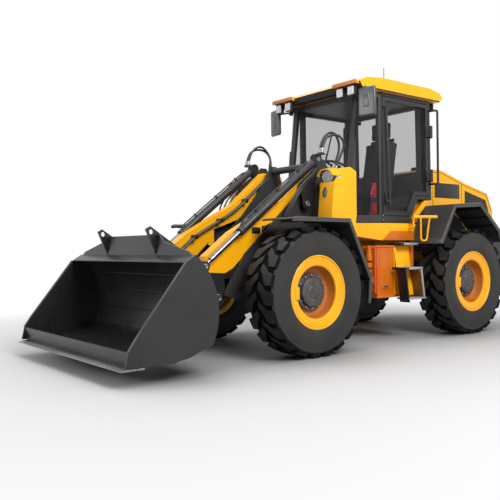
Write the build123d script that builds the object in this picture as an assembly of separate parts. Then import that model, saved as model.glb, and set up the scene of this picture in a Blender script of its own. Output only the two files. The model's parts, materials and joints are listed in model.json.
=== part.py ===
from build123d import *
from math import atan2, cos, degrees, hypot, pi, radians, sin
import os

# Wheel loader with a parallel-lift front loader, in millimetres.
# +X is the machine's left, +Y points rearwards, +Z is up.
# In this script Y is measured from the front axle and Z from the ground;
# the export moves everything so that the origin is below the middle of the machine.

# ---------------------------------------------------------------- driving sizes
wheelbase = 2610.0
half_track = 902.0
tyre_radius = 638.0
tyre_width = 392.0
bead_radius = 335.0
rim_flange_radius = 367.0
hub_radius = 155.0
spindle_radius = 60.0
axle_tube_radius = 85.0
brake_radius = 140.0
pivot_y = wheelbase / 2

run_fit = 0.06          # radial clearance of a pin in its bore
seat_gap = 0.3          # clearance between pieces that seat on each other
side_gap = 6.0          # clearance between sliding side faces

cab_half_width = 690.0
cab_front_half_width = 525.0
cab_floor_z = 1346.0
cab_floor = 24.0         # thickness of the floor plate
cab_top_z = 2861.0
cab_wall = 45.0
glass_inset = 14.0
glass_thickness = 8.0
b_post_y = 1405.0
door_rear_y = 2270.0
door_gap = 8.0
roof_half_width = 735.0

bucket_half_width = 1157.0
bucket_plate = 14.0
bucket_side_plate = 16.0
edge_thickness = 16.0

inner_plate_x = 300.0   # inner face of the tower's inner plates
plate_thickness = 20.0
arm_x0 = 370.0          # inner face of the lift arms
arm_width = 116.0
lever_plate = 14.0
ram_radius = 45.0
ram_rod_radius = 27.0
ram_eye_width = 34.0
lift_ram_radius = 50.0
lift_rod_radius = 28.0

tank_top = 1090.0
tank_inner_x = 560.0
sheet = 12.0            # mudguard sheet
guard_inner_x = 640.0
guard_outer_x = 1100.0
hood_half_width = 560.0
grille_half_width = 370.0
hood_wall = 25.0

# ---------------------------------------------------------------- joint points (Y, Z)
arm_pivot = (660.0, 1860.0)
bucket_pin = (-780.0, 596.0)
tilt_eye = (-995.0, 910.0)
tilt_head = (486.0, 2032.0)
lever_pin = (320.0, 1540.0)
lift_base = (640.0, 1240.0)
lift_eye = (-280.0, 1160.0)
steer_base = (330.0, 1800.0)      # X, Y
steer_eye = (300.0, 930.0)        # X, Y
steer_z = 700.0
steer_window_x = 115.0
door_hinge = (712.0, 2290.0)      # X, Y
hood_hinge = (3830.0, 1330.0)

# lateral places worked out from the plate stack
arm_x1 = arm_x0 + arm_width
outer_plate_x = arm_x1 + side_gap
outer_plate_x1 = outer_plate_x + plate_thickness
lever_x0 = outer_plate_x1 + side_gap
ram_x = lever_x0 + lever_plate + ram_eye_width / 2 + 1
lever_x1 = 2 * ram_x - lever_x0
arm_x = (arm_x0 + arm_x1) / 2

nodes = {}


# ---------------------------------------------------------------- helpers
def plate(points, x0, x1):
    """A flat plate: an outline in (Y, Z), from X = x0 to X = x1."""
    face = make_face(Polyline(*points, close=True))
    return extrude(Plane.YZ.offset(x0) * face, amount=x1 - x0)


def block(x0, x1, y0, y1, z0, z1):
    centre = Pos((x0 + x1) / 2, (y0 + y1) / 2, (z0 + z1) / 2)
    return centre * Box(abs(x1 - x0), abs(y1 - y0), abs(z1 - z0))


def cross_pin(point, radius, x0, x1):
    """A round bar along X, centred on a (Y, Z) point."""
    return Pos((x0 + x1) / 2, point[0], point[1]) * Rot(0, 90, 0) * Cylinder(radius, abs(x1 - x0))


def post(x, y, radius, z0, z1):
    return Pos(x, y, (z0 + z1) / 2) * Cylinder(radius, z1 - z0)


def bar(start, end, radius):
    """A round bar between two points in space."""
    a = Vector(*start)
    b = Vector(*end)
    base = Plane(origin=a, z_dir=b - a)
    return base * Cylinder(radius, (b - a).length, align=(Align.CENTER, Align.CENTER, Align.MIN))


def pipe(points, radius, bend):
    """A bent tube through the points, with one bend radius."""
    path = FilletPolyline(*points, radius=bend)
    section = Plane(origin=path @ 0, z_dir=path % 0) * Circle(radius)
    return sweep(section, path=path)


def both(shape):
    """The shape and its mirror image on the other side of the machine."""
    return shape + mirror(shape, about=Plane.YZ)


def along(start, end, distance):
    """The (Y, Z) point at a distance from start on the way to end."""
    length = hypot(end[0] - start[0], end[1] - start[1])
    share = distance / length
    return (start[0] + (end[0] - start[0]) * share, start[1] + (end[1] - start[1]) * share)


def at_x(point, x):
    return (x, point[0], point[1])


# ---------------------------------------------------------------- wheels
lug_count = 22              # on each side of the tyre
lug_slant = 0.75            # pitches from the shoulder to the middle
groove_radius = tyre_radius - 32
lug_outline = (             # share of the pitch, radius
    (0.0, tyre_radius),
    (0.54, tyre_radius),
    (0.63, groove_radius),
    (0.91, groove_radius),
)
plain_count = 2 * lug_count
# a ring of straight edges touches its circle at their middles
bore_radius = bead_radius / cos(pi / plain_count)
flange_clear_radius = (rim_flange_radius + 5) / cos(pi / plain_count)
side_rings = [              # X from the wheel's middle, radius
    (165.0, bore_radius),
    (165.0, flange_clear_radius),
    (tyre_width / 2, bead_radius + 133.0),
    (tyre_width / 2 - 4, tyre_radius - 78.0),
]
shoulder_x = tyre_width / 2 - 14
middle_x = 10.0
rim_profile = [           # X outwards from the wheel's middle, radius
    (40.0, 0.0),
    (70.0, 0.0),
    (70.0, hub_radius - 25),
    (55.0, hub_radius),
    (0.0, hub_radius),
    (0.0, 285.0),
    (120.0, 285.0),
    (175.0, 345.0),
    (175.0, rim_flange_radius),
    (165.0 + seat_gap, rim_flange_radius),
    (165.0 + seat_gap, bead_radius - seat_gap),
    (-165.0 - seat_gap, bead_radius - seat_gap),
    (-165.0 - seat_gap, rim_flange_radius),
    (-175.0, rim_flange_radius),
    (-175.0, bead_radius - 17),
    (-20.0, bead_radius - 35),
    (-20.0, hub_radius),
    (-60.0, hub_radius - 5),
    (-60.0, spindle_radius + run_fit),
    (40.0, spindle_radius + run_fit),
]


def turned(profile):
    face = make_face(Polyline(*profile, close=True))
    return revolve(face, axis=Axis.X)


def ring_point(x, radius, angle):
    """A point of a wheel's ring, the angle counted from straight down."""
    return (x, radius * sin(angle), -radius * cos(angle))


def plain_ring(x, radius, count, shift=0.0):
    pitch = 2 * pi / lug_count
    return [ring_point(x, radius, shift * pitch + k * 2 * pi / count) for k in range(count)]


def lug_ring(x, shift):
    """Round the tread at one X: two points on top of each lug and two in each groove."""
    pitch = 2 * pi / lug_count
    return [ring_point(x, radius, (k + share + shift) * pitch)
            for k in range(lug_count)
            for share, radius in lug_outline]


def band(first, second):
    """The triangles between two rings, which may differ in their number of points."""
    nearest = min(range(len(second)), key=lambda k: (Vector(*second[k]) - Vector(*first[0])).length)
    second = second[nearest:] + second[:nearest]
    n = len(first)
    m = len(second)
    triangles = []
    i = 0
    j = 0
    while i < n or j < m:
        if j == m or (i < n and (i + 1) * m <= (j + 1) * n):
            triangles.append((first[i % n], first[(i + 1) % n], second[j % m]))
            i += 1
        else:
            triangles.append((first[i % n], second[(j + 1) % m], second[j % m]))
            j += 1
    return triangles


def lugged_tyre():
    """Slanting lugs from each shoulder to the middle, one side half a pitch behind the other."""
    rings = [plain_ring(-x, radius, plain_count) for x, radius in side_rings]
    rings.append(lug_ring(-shoulder_x, 0.0))
    rings.append(lug_ring(-middle_x, lug_slant))
    rings.append(plain_ring(0.0, groove_radius + 2, lug_count, lug_slant))
    rings.append(lug_ring(middle_x, lug_slant + 0.5))
    rings.append(lug_ring(shoulder_x, 0.5))
    rings += [plain_ring(x, radius, plain_count) for x, radius in reversed(side_rings)]
    faces = []
    for first, second in zip(rings, rings[1:] + rings[:1]):
        for corners in band(first, second):
            wire = Wire.make_polygon([Vector(*corner) for corner in corners], close=True)
            faces.append(Face(wire))
    return Solid(Shell(faces))


def wheel_nodes():
    tyre = lugged_tyre()
    rim = turned(rim_profile)
    places = [("front", 0.0), ("rear", wheelbase)]
    for end, y in places:
        for side, turn in (("left", 0), ("right", 180)):
            x = half_track if side == "left" else -half_track
            place = Pos(x, y, tyre_radius)
            nodes[f"{end}_{side}_tyre"] = place * tyre
            nodes[f"{end}_{side}_rim"] = place * Rot(0, 0, turn) * rim


def axle(y, pad_top):
    """A rigid drive axle: middle housing, tubes, brake housings, spindles and frame pads."""
    centre = (y, tyre_radius)
    brake_end = half_track - 66.0
    spindle_end = half_track + 39.0
    side = cross_pin(centre, axle_tube_radius, 100, 650)
    side += cross_pin(centre, brake_radius, 640, brake_end)
    side += cross_pin(centre, spindle_radius, brake_end - 10, spindle_end)
    side += block(200, 290, y - 110, y + 110, tyre_radius, pad_top)
    housing = cross_pin(centre, 120, -170, 170)
    housing += Pos(0, y, tyre_radius) * Cylinder(190, 240)
    return housing + both(side)


# ---------------------------------------------------------------- front frame
belly_z = tyre_radius + 122.0
tower_rear_y = 700.0
outer_outline = [(-740, 625), (-470, 1025), (150, 1565), (360, 1725), (560, 2045), (640, 2045),
                 (tower_rear_y, 1960), (tower_rear_y, 700), (560, 640), (330, belly_z), (-330, belly_z),
                 (-640, 590)]
inner_outline = [(-430, belly_z), (-430, 960), (150, 1480), (360, 1725), (560, 2045), (640, 2045),
                 (tower_rear_y, 1960), (tower_rear_y, belly_z)]
neck_z0 = 570.0
neck_z1 = 930.0
lug_radius = 105.0
kingpin_radius = 45.0


def front_chassis():
    inner_x1 = inner_plate_x + plate_thickness
    side = plate(inner_outline, inner_plate_x, inner_x1)
    side += plate(outer_outline, outer_plate_x, outer_plate_x1)
    side += block(inner_plate_x, outer_plate_x1, -330, tower_rear_y, belly_z, belly_z + 40)
    side += block(inner_x1 - 5, outer_plate_x + 5, tower_rear_y - 16, tower_rear_y, belly_z, 1180)
    side += cross_pin(arm_pivot, 45, inner_plate_x - 12, outer_plate_x1 + 10)
    side += cross_pin(lift_base, 30, inner_plate_x, outer_plate_x1)
    side += cross_pin(lever_pin, 32, outer_plate_x, lever_x1 + 8)
    side += block(steer_eye[0] - 45, steer_eye[0] + 45, tower_rear_y - 5, steer_eye[1] + 30,
                  steer_z - 66, steer_z - 46)
    body = both(side)
    body += block(-inner_plate_x - 5, inner_plate_x + 5, -430, tower_rear_y, belly_z, belly_z + 40)
    body += block(-inner_plate_x - 5, inner_plate_x + 5, -430, -400, belly_z, 940)
    body += block(-inner_plate_x - 5, inner_plate_x + 5, tower_rear_y - 24, tower_rear_y, belly_z - 110, 1500)
    body += cross_pin((595, 1985), 40, -inner_plate_x - 5, inner_plate_x + 5)
    # the narrow neck that runs back to the centre hinge
    body += block(-150, 150, tower_rear_y - 20, pivot_y - 160, neck_z0, neck_z1)
    for z in (neck_z0 + 30, neck_z1 - 60):
        lug = block(-lug_radius, lug_radius, pivot_y - 180, pivot_y, z, z + 30)
        lug += post(0, pivot_y, lug_radius, z, z + 30)
        body += lug - post(0, pivot_y, kingpin_radius + run_fit, z - 5, z + 35)
    return body


def front_guards():
    top = tyre_radius + 734.0
    rear = tyre_radius + 117.0
    foot = rear - 36.0
    path = [(-351, top - 14), (-300, top), (435, top - 8), (rear, 749), (foot, 489)]
    inner = [(foot - sheet, 489), (rear - sheet, 749), (430, top - 8 - sheet), (-300, top - sheet),
             (-346, top - 14 - sheet)]
    shell = plate(path + inner, guard_inner_x, guard_outer_x)
    lip = plate([(-351, top - 14), (-300, top), (435, top - 8), (rear, 749), (foot, 489), (foot - 29, 489),
                 (rear - 43, 745), (415, top - 45), (-300, top - 40), (-345, top - 45)],
                guard_outer_x - 14, guard_outer_x)
    bracket = plate([(596, 1052), (690, 1052), (690, 900), (676, 900)],
                    outer_plate_x1 + seat_gap, guard_inner_x + 5)
    return both(shell + lip + bracket)


lamp_place = (800.0, 456.0, 1830.0)
lamp_tilt = 8.0
lamp_half_width = 100.0
lamp_half_height = 65.0


def lamp_oval(grown, depth):
    """An upright oval block across the lamp's place, grown on every side."""
    oval = extrude(Ellipse(lamp_half_width + grown, lamp_half_height + grown), amount=depth / 2, both=True)
    return Pos(*lamp_place) * Rot(lamp_tilt + 90, 0, 0) * oval


def lamp_posts():
    body = plate([(360, 1365.6), (436.2, 1364.8), (531.8, 1181), (700, 1181), (735, 1420), (735, 1880),
                  (640, 1925), (480, 1900), (400, 1740)], 700, 905)
    brow = lamp_oval(14, 170) - block(600, 1000, 300, 600, 1700, lamp_place[2] - 10)
    body += brow - block(600, 1000, lamp_place[1] + 30, 650, 1700, 2000)
    body -= lamp_oval(1.0, 80)
    body -= lamp_oval(2, 180) - block(600, 1000, lamp_place[1], 650, 1600, 2100)
    stay = block(outer_plate_x1 + seat_gap, 705, 572, 690, 1700, 1780)
    stay += block(outer_plate_x1 + seat_gap, 705, 572, 690, 1240, 1320)
    return both(body + stay)


def headlamps():
    return both(lamp_oval(0, 80 - 2 * seat_gap))


# ---------------------------------------------------------------- loader arms
arm_outline = [(660, 1955), (510, 1970), (60, 1590), (-606, 1239), (-919, 1003), (-950, 930),
               (-944, 851), (-700, 836), (-600, 885), (-328, 1130), (-328, 1160), (-232, 1160),
               (-232, 1300), (-160, 1318), (300, 1478), (640, 1766)]
arm_boss_radius = 95.0
lift_eye_radius = 46.0
lift_slot = [(-345, 1050), (-345, 1225), (-200, 1262), (-200, 1050)]
nose_width_inset = 6.0
torque_tube = (-815.0, 776.0)
torque_tube_radius = 56.0


def lift_arms():
    boss_x0 = inner_plate_x + plate_thickness + side_gap
    body = plate(arm_outline, arm_x0, arm_x1)
    body += cross_pin(arm_pivot, arm_boss_radius, boss_x0, arm_x1)
    body += cross_pin(lift_eye, lift_eye_radius + 2, arm_x0, arm_x1)
    body -= cross_pin(arm_pivot, 45 + run_fit, boss_x0 - 5, arm_x1 + 5)
    # slot between the arm's cheeks, where the lift ram's rod eye moves with its pin
    body -= plate(lift_slot, arm_x - 34, arm_x + 34)
    return both(body)


def arm_noses():
    x0 = arm_x0 + nose_width_inset
    x1 = arm_x1 - nose_width_inset
    nose = plate([(-944, 850.7), (-702, 835.7), (-700, 596), (-860, 596)], x0, x1)
    nose += cross_pin(bucket_pin, 82, x0, x1)
    nose -= cross_pin(bucket_pin, 36 + run_fit, x0 - 5, x1 + 5)
    body = both(nose)
    body += cross_pin(torque_tube, torque_tube_radius, -x0 - 5, x0 + 5)
    return body


def hinge_pins():
    """The two pins that the bucket carrier turns on."""
    pin = cross_pin(bucket_pin, 36, inner_plate_x - 6, arm_x1 - nose_width_inset + 4)
    pin += cross_pin(bucket_pin, 52, inner_plate_x - 18, inner_plate_x - 6)
    return both(pin)


# ---------------------------------------------------------------- tilt linkage
barrel_length = 1314.0
rod_length = 940.0
lift_barrel_length = 840.0
lift_rod_length = 845.0


def tilt_levers():
    def cheek(x0, x1):
        web = plate([(543, 2025), (475, 2000), (463, 1930), (372, 1852), (268, 1773), (244, 1700),
                     (262, 1540), (378, 1540), (425, 1750), (500, 1890)], x0, x1)
        web += cross_pin(tilt_head, 60, x0, x1)
        web += cross_pin(lever_pin, 58, x0, x1)
        return web - cross_pin(lever_pin, 32 + run_fit, x0 - 5, x1 + 5)
    side = cheek(lever_x0, lever_x0 + lever_plate)
    side += cheek(lever_x1 - lever_plate, lever_x1)
    side += cross_pin(tilt_head, 25, lever_x0 + 2, lever_x1 - 2)
    web = plate([(265, 1640), (290, 1640), (310, 1745), (290, 1760), (262, 1740)], lever_x0 + 4, lever_x1 - 4)
    return both(side + web)


def ram_barrel(base, tip, length, radius, bore, eye_width, pin_radius, start, x):
    """A ram's barrel: it starts at a distance from its pin, behind a narrower eye."""
    body = bar(at_x(along(base, tip, start), x), at_x(along(base, tip, length), x), radius)
    body += bar(at_x(base, x), at_x(along(base, tip, start + 5), x), eye_width / 2 - 2)
    body += cross_pin(base, 46, x - eye_width / 2, x + eye_width / 2)
    body -= bar(at_x(along(base, tip, start + 12), x), at_x(along(base, tip, length + 10), x), bore + run_fit)
    return both(body - cross_pin(base, pin_radius + run_fit, x - 60, x + 60))


def ram_rod(base, tip, length, radius, eye_width, neck, x):
    """A ram's rod: it narrows to a neck before the eye, which carries its own pin."""
    full = hypot(tip[0] - base[0], tip[1] - base[1])
    body = bar(at_x(along(base, tip, full - length), x), at_x(along(base, tip, full - neck), x), radius)
    body += bar(at_x(along(base, tip, full - neck - 5), x), at_x(along(base, tip, full - 5), x),
                min(radius, eye_width / 2 - 2))
    body += cross_pin(tip, lift_eye_radius, x - eye_width / 2, x + eye_width / 2)
    return both(body)


# ---------------------------------------------------------------- bucket
edge_tip = (-2166.0, 137.0)
floor_rear = (-1681.0, 137.0 + edge_thickness)
heel = (-1305.0, 259.0)
back_middle = (-1241.0, 576.0)
back_top = (-1468.0, 1031.0)
side_front = [(-1575.0, 965.0), (-2035.0, 385.0), (-2101.0, 290.0), (-2130.0, 165.0)]
back_centre = (-1881.8, 540.4)
back_radius = hypot(heel[0] - back_centre[0], heel[1] - back_centre[1])


def moved_in(point, amount):
    """A point of the bucket's back, moved towards the centre of its curve."""
    length = hypot(point[0] - back_centre[0], point[1] - back_centre[1])
    share = (length - amount) / length
    return (back_centre[0] + (point[0] - back_centre[0]) * share,
            back_centre[1] + (point[1] - back_centre[1]) * share)


def bucket_wedge(amount, x0, x1, grow=0.0):
    """The bucket's whole inside and shell, its back and floor moved in by an amount."""
    floor_z = floor_rear[1] + amount
    start = (floor_rear[0] - amount * 0.2, floor_z)
    lines = Polyline((edge_tip[0] + 90 - grow, floor_z), start, moved_in(heel, amount))
    arc = ThreePointArc(moved_in(heel, amount), moved_in(back_middle, amount), moved_in(back_top, amount))
    front = Polyline(moved_in(back_top, amount), side_front[0], side_front[1], side_front[2],
                     (edge_tip[0] + 90 - grow, floor_z))
    face = make_face(lines + arc + front)
    return extrude(Plane.YZ.offset(x0) * face, amount=x1 - x0)


def bucket_shell():
    x1 = bucket_half_width - 10
    outer = bucket_wedge(0.0, -x1, x1)
    inner = bucket_wedge(bucket_plate, -x1 + bucket_side_plate, x1 - bucket_side_plate, 0.0)
    mouth = plate([(-1575, 965), (-1478, 1100), (-2300, 1100), (-2300, 100), (-2076, 130),
                   (-2101, 290), (-2035, 385)], -x1 + bucket_side_plate, x1 - bucket_side_plate)
    body = outer - inner - mouth
    # spill guard along the top of the back, and two lifting ears that pass over it
    guard_x = bucket_half_width - 60
    face = make_face(Polyline((-guard_x, 1025), (guard_x, 1025), (guard_x - 60, 1060), (620, 1150),
                              (560, 1212), (-560, 1212), (-620, 1150), (-guard_x + 60, 1060), close=True))
    guard = extrude(Plane.XZ.offset(1474) * face, amount=-bucket_plate)
    body += guard
    ear = plate([(-1300, 905), (-1190, 1062), (-1530, 1288), (-1575, 1262), (-1470, 1020)], 480, 504)
    ear -= cross_pin((-1520, 1238), ear_hole_radius, 470, 514)
    ear -= bucket_wedge(2.0, 470, 514)
    body += both(ear)
    # thick side cutters
    cutter = plate([side_front[0], side_front[1], side_front[2], (-2130, 165), (-2000, 153),
                    (-1990, 300), (-1930, 380), (-1480, 950)], x1 - 12, bucket_half_width)
    return body + both(cutter)


def bucket_edge():
    y0, z0 = edge_tip
    x1 = bucket_half_width - 4
    return plate([(y0, z0), (-1960, z0), (-1960, z0 + edge_thickness), (-2120, z0 + edge_thickness)], -x1, x1)


def bucket_carrier():
    front_y = -1560
    b = bucket_pin

    def lug(x0, x1):
        web = plate([(b[0], b[1] + 60), (b[0] - 100, b[1] + 24), (-1180, 600), (front_y, 600),
                     (front_y, 380), (-1180, 380), (b[0], b[1] - 68)], x0, x1)
        web += cross_pin(b, 68, x0, x1)
        return web - cross_pin(b, 36 + run_fit, x0 - 5, x1 + 5)

    def tilt_lug(x0, x1):
        web = plate([(-1165, 400), (front_y, 400), (front_y, 960), (-1030, 955), (-955, 885), (-1080, 700)],
                    x0, x1)
        return web + cross_pin(tilt_eye, 52, x0, x1)

    side = lug(inner_plate_x, arm_x0 - 2)
    side += tilt_lug(lever_x0, lever_x0 + lever_plate)
    side += tilt_lug(lever_x1 - lever_plate, lever_x1)
    side += cross_pin(tilt_eye, 32, lever_x0 - 6, lever_x0 + 2)
    side += cross_pin(tilt_eye, 32, lever_x1 - 2, lever_x1 + 6)
    body = both(side)
    body += block(-lever_x1, lever_x1, front_y, -1195, 400, 520)
    body += block(-inner_plate_x - 20, inner_plate_x + 20, front_y, -1180, 380, 600)
    body -= bucket_wedge(-seat_gap, -bucket_half_width, bucket_half_width, 0.0)
    return body


# ---------------------------------------------------------------- rear frame
rail_x = 235.0
rear_y = 4000.0
rear_frame_z = 1010.0
tow_pin_radius = 25.0
ear_hole_radius = 24.0


def rear_chassis():
    rail = plate([(1480, 560), (1480, 980), (1600, rear_frame_z), (3850, rear_frame_z), (3850, 640),
                  (3000, 640), (2830, 880), (2390, 880), (2250, 620), (1600, 560)], rail_x, rail_x + 30)
    body = both(rail)
    for y0, y1, z0, z1 in ((1480, 1520, 560, 980), (2200, 2240, 640, 980), (3000, 3040, 660, 980),
                           (3600, 3640, 660, 980)):
        body += block(-rail_x - 5, rail_x + 5, y0, y1, z0, z1)
    for z in (neck_z0 - 4, neck_z1 + 4 - 30):
        lug = block(-lug_radius, lug_radius, pivot_y, 1485, z, z + 30)
        lug += post(0, pivot_y, lug_radius, z, z + 30)
        body += lug
    body += post(0, pivot_y, kingpin_radius, neck_z0 - 20, neck_z1 + 20)
    # windows that the steering rams swing through
    body -= both(block(steer_window_x, rail_x + 40, 1470, steer_base[1] - 45, steer_z - 60, steer_z + 60))
    body += both(block(rail_x + 25, steer_base[0] + 40, 1770, 1830, steer_z - 66, steer_z - 46))
    body += both(post(*steer_base, 20, steer_z - 60, steer_z + 26))
    # axle seats
    body += both(block(200, rail_x + 30, wheelbase - 110, wheelbase + 110, 870, 905))
    return body


def cab_base():
    top = cab_floor_z - seat_gap
    side = [(1010, 1205), (1340, 1150), (2330, 1150), (2330, top), (1010, top)]
    deck = plate(side, -752, 752)
    rear = guard_inner_x - sheet - 8
    plan = make_face(Polyline((-560, 1000), (560, 1000), (752, 1440), (752, 1890), (rear, 1890), (rear, 2340),
                              (-rear, 2340), (-rear, 1890), (-752, 1890), (-752, 1440), close=True))
    deck = deck & extrude(Plane.XY.offset(1100) * plan, amount=300)
    deck += block(-300, 300, 1560, 1700, rear_frame_z + seat_gap, 1155)
    deck += block(-300, 300, 2150, 2290, rear_frame_z + seat_gap, 1155)
    return deck


def cab_prism(inset, floor=0.0, top=0.0):
    """The cab's outer shape, with each wall moved in by the inset."""
    z0 = cab_floor_z + floor
    z1 = cab_top_z - top
    i = inset
    profile = [(960 + i * 1.02, z0), (1880 - i * 0.59, z0), (2040 - i * 0.59, 1645 + i),
               (2315 - i, 1645 + i), (2295 - i, z1),
               (1160 + i * 1.02, z1), (1047 + i * 1.02, 1950)]
    x1 = cab_half_width - i
    x2 = cab_front_half_width - i * 0.9
    plan = make_face(Polyline((-x2, 900), (x2, 900), (x2, 985 + i * 0.1), (x1, b_post_y), (x1, 2400),
                              (-x1, 2400), (-x1, b_post_y), (-x2, 985 + i * 0.1), close=True))
    tall = extrude(Plane.XY.offset(z0) * plan, amount=z1 - z0)
    return plate(profile, -x1, x1) & tall


floor_top = cab_floor_z + cab_floor
window_boxes = [     # x0, x1, y0, y1, z0, z1
    (-480, 480, 900, 1290, 1450, 2800),
    (-500, 500, 2200, 2400, 1980, 2790),
]
side_window = (540, 760, 1090, 1365, 1440, 2800)
right_window = (-760, -560, 1450, 2225, 1720, 2800)
right_low_window = (-760, -560, 1450, 1830, 1450, 1660)
door_box = (600, 760, b_post_y + 12, door_rear_y, 1432, 2822)
door_notch = (1877.0, (2016.0, 1685.0))     # where the door's lower rear corner is cut away


def grown(box, amount):
    x0, x1, y0, y1, z0, z1 = box
    return (x0 - amount, x1 + amount, y0 - amount, y1 + amount, z0 - amount, z1 + amount)


def door_region(amount):
    """The door's outline as a solid through the side wall, shrunk by an amount."""
    x0, x1, y0, y1, z0, z1 = door_box
    a = amount
    notch_low, notch_high = door_notch
    outline = [(y0 + a, z0 + a), (notch_low - a * 0.59, z0 + a), (notch_high[0] - a * 0.59, notch_high[1] + a),
               (y1 - a, notch_high[1] + a), (y1 - a, z1 - a), (y0 + a, z1 - a)]
    return plate(outline, x0, x1)


def cab_frame():
    body = cab_prism(0.0) - cab_prism(cab_wall, floor=cab_floor, top=30.0)
    for box in window_boxes + [right_window, right_low_window]:
        body -= block(*box)
    body -= both(block(*side_window))
    body -= door_region(0.0)
    return body


def cab_glass():
    skin = cab_prism(glass_inset, floor=2.0, top=2.0) - cab_prism(glass_inset + glass_thickness)
    panes = None
    boxes = window_boxes + [right_window, right_low_window, side_window]
    for box in boxes:
        pane = skin & block(*grown(box, -seat_gap))
        panes = pane if panes is None else panes + pane
    x0, x1, y0, y1, z0, z1 = side_window
    return panes + (skin & block(*grown((-x1, -x0, y0, y1, z0, z1), -seat_gap)))


door_rail = 42.0


def cab_door():
    wall = cab_prism(0.0) - cab_prism(cab_wall)
    body = wall & door_region(door_gap)
    body -= door_region(door_gap + door_rail)
    hinge = block(cab_half_width - 4, cab_half_width + 12, door_rear_y - 60, door_rear_y - 20, 0, 90)
    hinge += block(cab_half_width + 2, door_hinge[0], door_rear_y - 24, door_hinge[1], 0, 90)
    hinge += post(*door_hinge, 16, 0, 90)
    hinge -= post(*door_hinge, 9 + run_fit, -5, 95)
    for z in (1900, 2440):
        body += Pos(0, 0, z) * hinge
    grab = pipe([(cab_half_width - 10, 1440, 2690), (cab_half_width + 42, 1440, 2690),
                 (cab_half_width + 42, 1485, 1530), (cab_half_width - 10, 1485, 1530)], 11, 30)
    return body + grab


def door_glass():
    skin = cab_prism(glass_inset) - cab_prism(glass_inset + glass_thickness)
    return skin & door_region(door_gap + door_rail + seat_gap)


def hinge_brackets():
    """Fixed halves of the door hinges, with their pins, on the cab's rear post."""
    side = None
    for z in (1900, 2440):
        pin = post(*door_hinge, 9, z - 30, z + 120)
        foot = block(cab_half_width - 6, door_hinge[0] + 12, door_hinge[1] - 11, door_hinge[1] + 16,
                     z - 34, z - 4)
        piece = pin + foot
        side = piece if side is None else side + piece
    return side


def cab_roof():
    side = [(1040, 2865), (1000, 2925), (1120, 2985), (1400, 3010), (2250, 3008), (2440, 2975), (2500, 2925),
            (2440, 2861 + seat_gap), (1120, 2861 + seat_gap)]
    body = plate(side, -roof_half_width, roof_half_width)
    crown = plate([(1180, 2980), (1400, 3040), (2240, 3040), (2400, 2975)], -560, 560)
    visor = block(360, 715, 945, 1100, 2900, 2936)
    return body + crown + both(visor)


def work_lamps():
    body = None
    for x in (451.5, 623.0):
        lamp = block(x - 52, x + 52, 955, 1015, 2776, 2885)
        stem = block(x - 14, x + 14, 972, 998, 2884, 2900 - seat_gap)
        piece = lamp + stem
        body = piece if body is None else body + piece
    rear = block(560, 660, 2385, 2435, 2770, 2861)
    return both(body + rear)


def handrails():
    x = cab_half_width + 100
    start = cab_half_width + seat_gap
    bend = cab_half_width + 55
    rear = pipe([(start, 2282, 2740), (bend, 2282, 2740), (x, 2318, 2740), (x, 2318, 1840),
                 (bend, 2282, 1840), (start, 2282, 1840)], 14, 22)
    return both(rear)


def mirrors():
    """Two mirrors on arms that stand square to the tapered side of the cab."""
    slope = (cab_half_width - cab_front_half_width) / (b_post_y - 985)
    out_x = 1 / hypot(1, slope)
    out_y = -slope / hypot(1, slope)
    foot = (cab_front_half_width + (1150 - 985) * slope + out_x * seat_gap, 1150 + out_y * seat_gap)
    elbow = (foot[0] + 100 * out_x, foot[1] + 100 * out_y)
    arm = pipe([(*foot, 2800), (*elbow, 2800), (787, 1080, 2790), (787, 1080, 2700)], 11, 25)
    head = Pos(787, 1055, 2690) * Rot(0, 0, 12) * Box(215, 50, 330)
    return both(head + arm)


def seat():
    body = block(-250, 250, 1540, 1965, 1620, 1730)
    body += plate([(1945, 1700), (1995, 1700), (2130, 1735), (2230, 2450), (2110, 2450), (2010, 1780)],
                  -240, 240)
    body += plate([(2120, 2450), (2225, 2450), (2235, 2690), (2140, 2690)], -150, 150)
    body += block(-200, 200, 1600, 1830, floor_top + seat_gap, 1625)
    return body


def console():
    body = bar((0, 1225, 1420), (0, 1345, 2040), 42)
    body += block(-180, 180, 1150, 1290, floor_top + seat_gap, 1500)
    wheel_plane = Plane(origin=(0, 1345, 2040), z_dir=(0, 0.42, 0.9))
    body += wheel_plane * Torus(190, 14)
    body += wheel_plane * Box(370, 30, 16)
    body += block(-470, -300, 1560, 1830, floor_top + seat_gap, 1960)
    return body


def fire_extinguisher():
    """A bottle on a stand beside the seat, with its neck, lever and a short horn."""
    x = 400.0
    y = 1620.0
    body = block(x - 55, x + 55, y - 55, y + 55, floor_top + seat_gap, 1505)
    bottle = Pos(x, y, 1505) * Cylinder(62, 250, align=(Align.CENTER, Align.CENTER, Align.MIN))
    bottle += Pos(x, y, 1755) * Sphere(62)
    body += bottle
    body += post(x, y, 16, 1800, 1836)
    body += block(x - 12, x + 12, y - 62, y + 20, 1830, 1846)
    body += bar((x, y - 30, 1835), (x, y - 88, 1690), 12)
    return body


landing_rail_z = 1420.0      # low enough for the door to swing over it


def steps():
    """The ladder on the left: two plates, a low rung on two links and a railed landing."""
    rail_z = landing_rail_z
    body = block(700, 870, 1560, 1810, tank_top + seat_gap, 1112)
    lower = block(790, 980, 1440, 1755, 812, 834)
    for y in (1445, 1720):
        lower += block(760 + seat_gap, 800, y, y + 30, 790, 834)
        lower += plate([(y, 834), (y + 20, 834), (y + 75, 470), (y + 55, 470)], 850, 975)
    lower += block(800, 980, 1500, 1815, 470, 486)
    panel = block(760 + seat_gap, 772, 1490, 1745, 520, 1060)
    landing = pipe([(752 + seat_gap, 1780, 1290), (830, 1780, 1290), (830, 1780, rail_z),
                    (960, 2050, rail_z)], 12, 35)
    hoop = pipe([(870, 1866, rail_z), (875, 1860, 1140), (905, 1925, 1140), (921, 1968, rail_z)], 11, 30)
    return body + lower + panel + landing + hoop


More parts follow.
